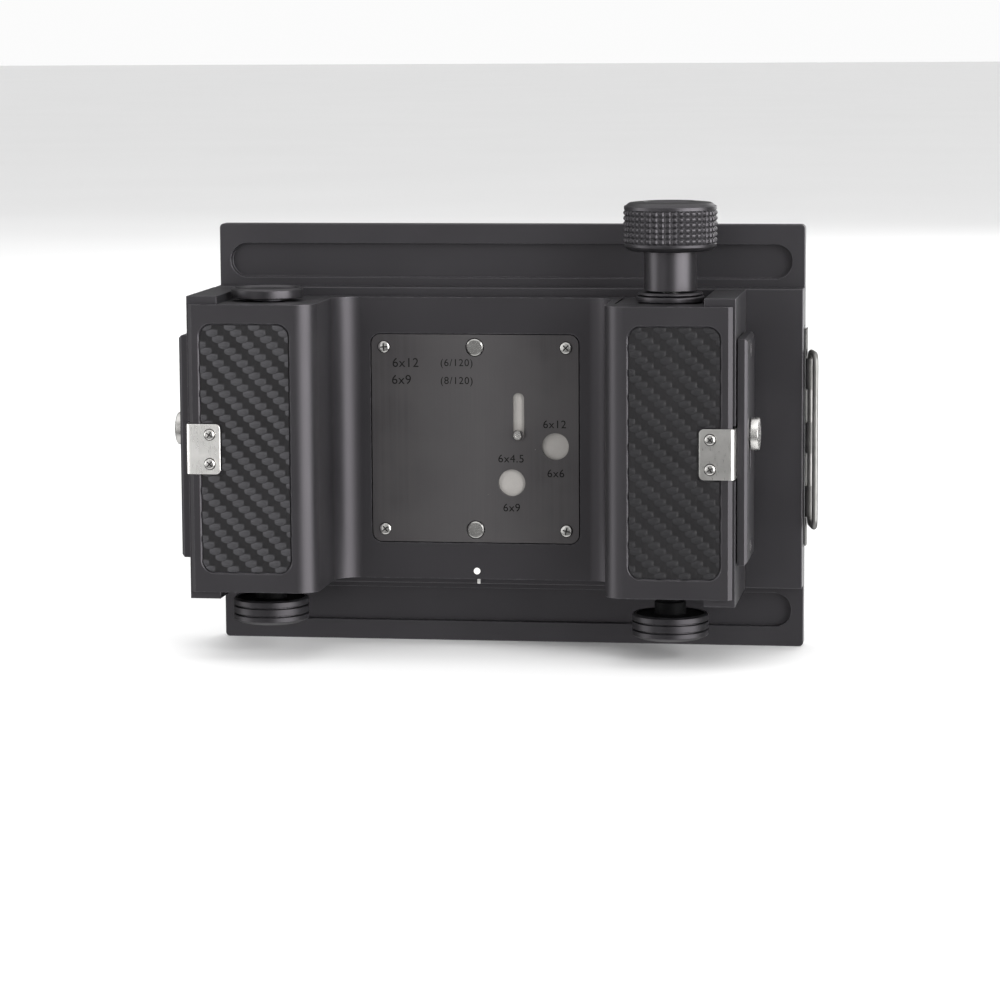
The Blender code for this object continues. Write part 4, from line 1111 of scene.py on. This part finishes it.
def build_front_screws():
    head = -0.1
    profile = [(1.5, -9), (1.5, -2.4), (2.9, -0.45), (3, -0.25), (2.9, head)]
    flip = rotation(180, "X")
    for number, node in enumerate(HOUSING_SCREWS, 1):
        x, z = spot(node)
        place = shift((x, head, z))
        blades = [moved(blade, place @ flip @ place.inverted())
                  for blade in cross_cut((x, head, z), "Y", 1.9, 1, 20 * number)]
        turned(node, profile, STEEL_TURNED, "Y", 48, cuts=blades, smooth=30)


# ---- stage

def floor_finish():
    made = Finish("studio_floor")
    cloud = made.noise(0.004, 3)
    colour = made.mix(cloud, (0.8, 0.8, 0.8, 1), (0.84, 0.84, 0.84, 1))
    return made.made_of(colour, made.spread(cloud, 0.7, 0.8))


def build_stage():
    shape = bmesh.new()
    bmesh.ops.create_grid(shape, x_segments=1, y_segments=1, size=15000)
    drop = shift((0, 0, cad_box[0].z / MM - 0.02))
    floor = link("studio_floor", moved(shape, drop))
    floor.data.materials.append(floor_finish())
    floor.visible_glossy = False


def build_world():
    """An even dome for the floor and the shadows, and a studio of soft boxes for the gloss."""
    world = put(bpy.data.worlds.new("studio"), use_nodes=True)
    world.cycles.sampling_method = "NONE"
    bpy.context.scene.world = world
    made = Nodes(world.node_tree)
    place = made.add("ShaderNodeTexCoord").outputs["Generated"]
    parts = made.add("ShaderNodeSeparateXYZ", {0: place}).outputs
    azimuth = made.maths("ARCTAN2", parts["X"], made.times(parts["Y"], -1))
    height = parts["Z"]

    def soft(value, low, high, to_low=0, to_high=1):
        return made.remap(value, low, high, to_low, to_high, "SMOOTHSTEP")

    def window(value, start, full, fade, end):
        return made.times(soft(value, start, full), soft(value, fade, end, 1, 0))

    def panel(strength, start, full, fade, end, low, low_full, high_full, high):
        """A soft box seen in the gloss: azimuths in degrees, heights as sines."""
        across = window(azimuth, *(radians(a) for a in (start, full, fade, end)))
        up = window(height, low, low_full, high_full, high)
        return made.times(made.times(across, up), strength)

    wall = soft(height, -0.2, 0.05, 0.19, 0.42)
    front = soft(made.maths("ABSOLUTE", azimuth), 1.2, 2.2, 1, 0.35)
    ceiling, table = soft(height, 0.45, 0.85), soft(height, -0.45, -0.85, 0, 0.9)
    gloss = made.plus(made.times(wall, front), made.plus(ceiling, table))
    for setting in ((6.4, 18, 41, 78, 104, -0.42, -0.04, 0.3, 0.6),
                    (0.7, -46, -36, -20, -9, -0.5, -0.2, 0.3, 0.6),
                    (2.8, -98, -84, -68, -46, -0.5, -0.1, 0.3, 0.6),
                    (1.6, 132, 150, 172, 180, -0.5, -0.2, 0.3, 0.6)):
        gloss = made.plus(gloss, panel(*setting))
    strength = made.remap(height, 0, 1, 0.16, 1.25)
    kind = made.add("ShaderNodeLightPath").outputs
    for ray, seen in (("Glossy", gloss), ("Camera", 0.97)):
        strength = made.add("ShaderNodeMix", {0: kind[f"Is {ray} Ray"], 2: strength, 3: seen},
                            data_type="FLOAT").outputs[0]
    backdrop = world.node_tree.nodes["Background"]
    backdrop.inputs["Color"].default_value = (1, 1, 1, 1)
    made.feed(backdrop.inputs["Strength"], strength)


def toward(azimuth, elevation):
    """Unit vector for angles in degrees; azimuth 0 is -Y, the side that the camera is on."""
    a, e = radians(azimuth), radians(elevation)
    return Vector((sin(a) * cos(e), -cos(a) * cos(e), sin(e)))


def area_light(name, azimuth, elevation, distance, width, height, power):
    """A soft box aimed at the object: distance and size in metres, power in watts."""
    data = put(bpy.data.lights.new(name, "AREA"), shape="RECTANGLE", size=width, size_y=height,
               energy=power)
    away = toward(azimuth, elevation)
    put(add_object(name, data), location=away * distance, rotation_mode="QUATERNION",
        rotation_quaternion=away.to_track_quat("Z", "Y"), visible_glossy=False)


def build_lights():
    for name, *setting in (("key", 43, 17, 1.7, 0.62, 1, 26),
                           ("fill", -40, 17, 1.9, 0.6, 1.1, 7),
                           ("left", -80, 17, 1.8, 0.6, 1, 14),
                           ("top", 10, 80, 1.6, 1.2, 1.2, 6),
                           ("rear", 165, 30, 1.9, 1, 1, 14)):
        area_light(f"{name}_softbox", *setting)


def build_camera():
    azimuth, elevation, roll = 8.31, 7.39, -0.33
    distance, target = 1066.06, Vector((4.4, 0, -19.81))
    back, right = toward(azimuth, elevation), toward(azimuth + 90, 0)
    turn = Matrix((right, back.cross(right), back)).transposed().to_4x4() @ rotation(roll, "Z")
    place = shift((target + back * distance) * MM)
    data = put(bpy.data.cameras.new("camera"), sensor_width=36, lens=132.46, clip_start=0.05,
               clip_end=50)
    camera = put(add_object("camera", data), matrix_world=place @ turn)
    bpy.context.scene.camera = camera


def main():
    for build in (build_mount_plate, build_housing, build_front_screws, build_film_body,
                  build_rollers, build_pressure_plate, build_spool, build_cover,
                  build_leatherette, build_clips, build_nameplate, build_shutter, build_wind,
                  build_supply_cap, build_pull_knobs, build_catches, build_dark_slide,
                  build_stage, build_world, build_lights, build_camera):
        build()
    bpy.context.scene.view_settings.view_transform = "Standard"


main()
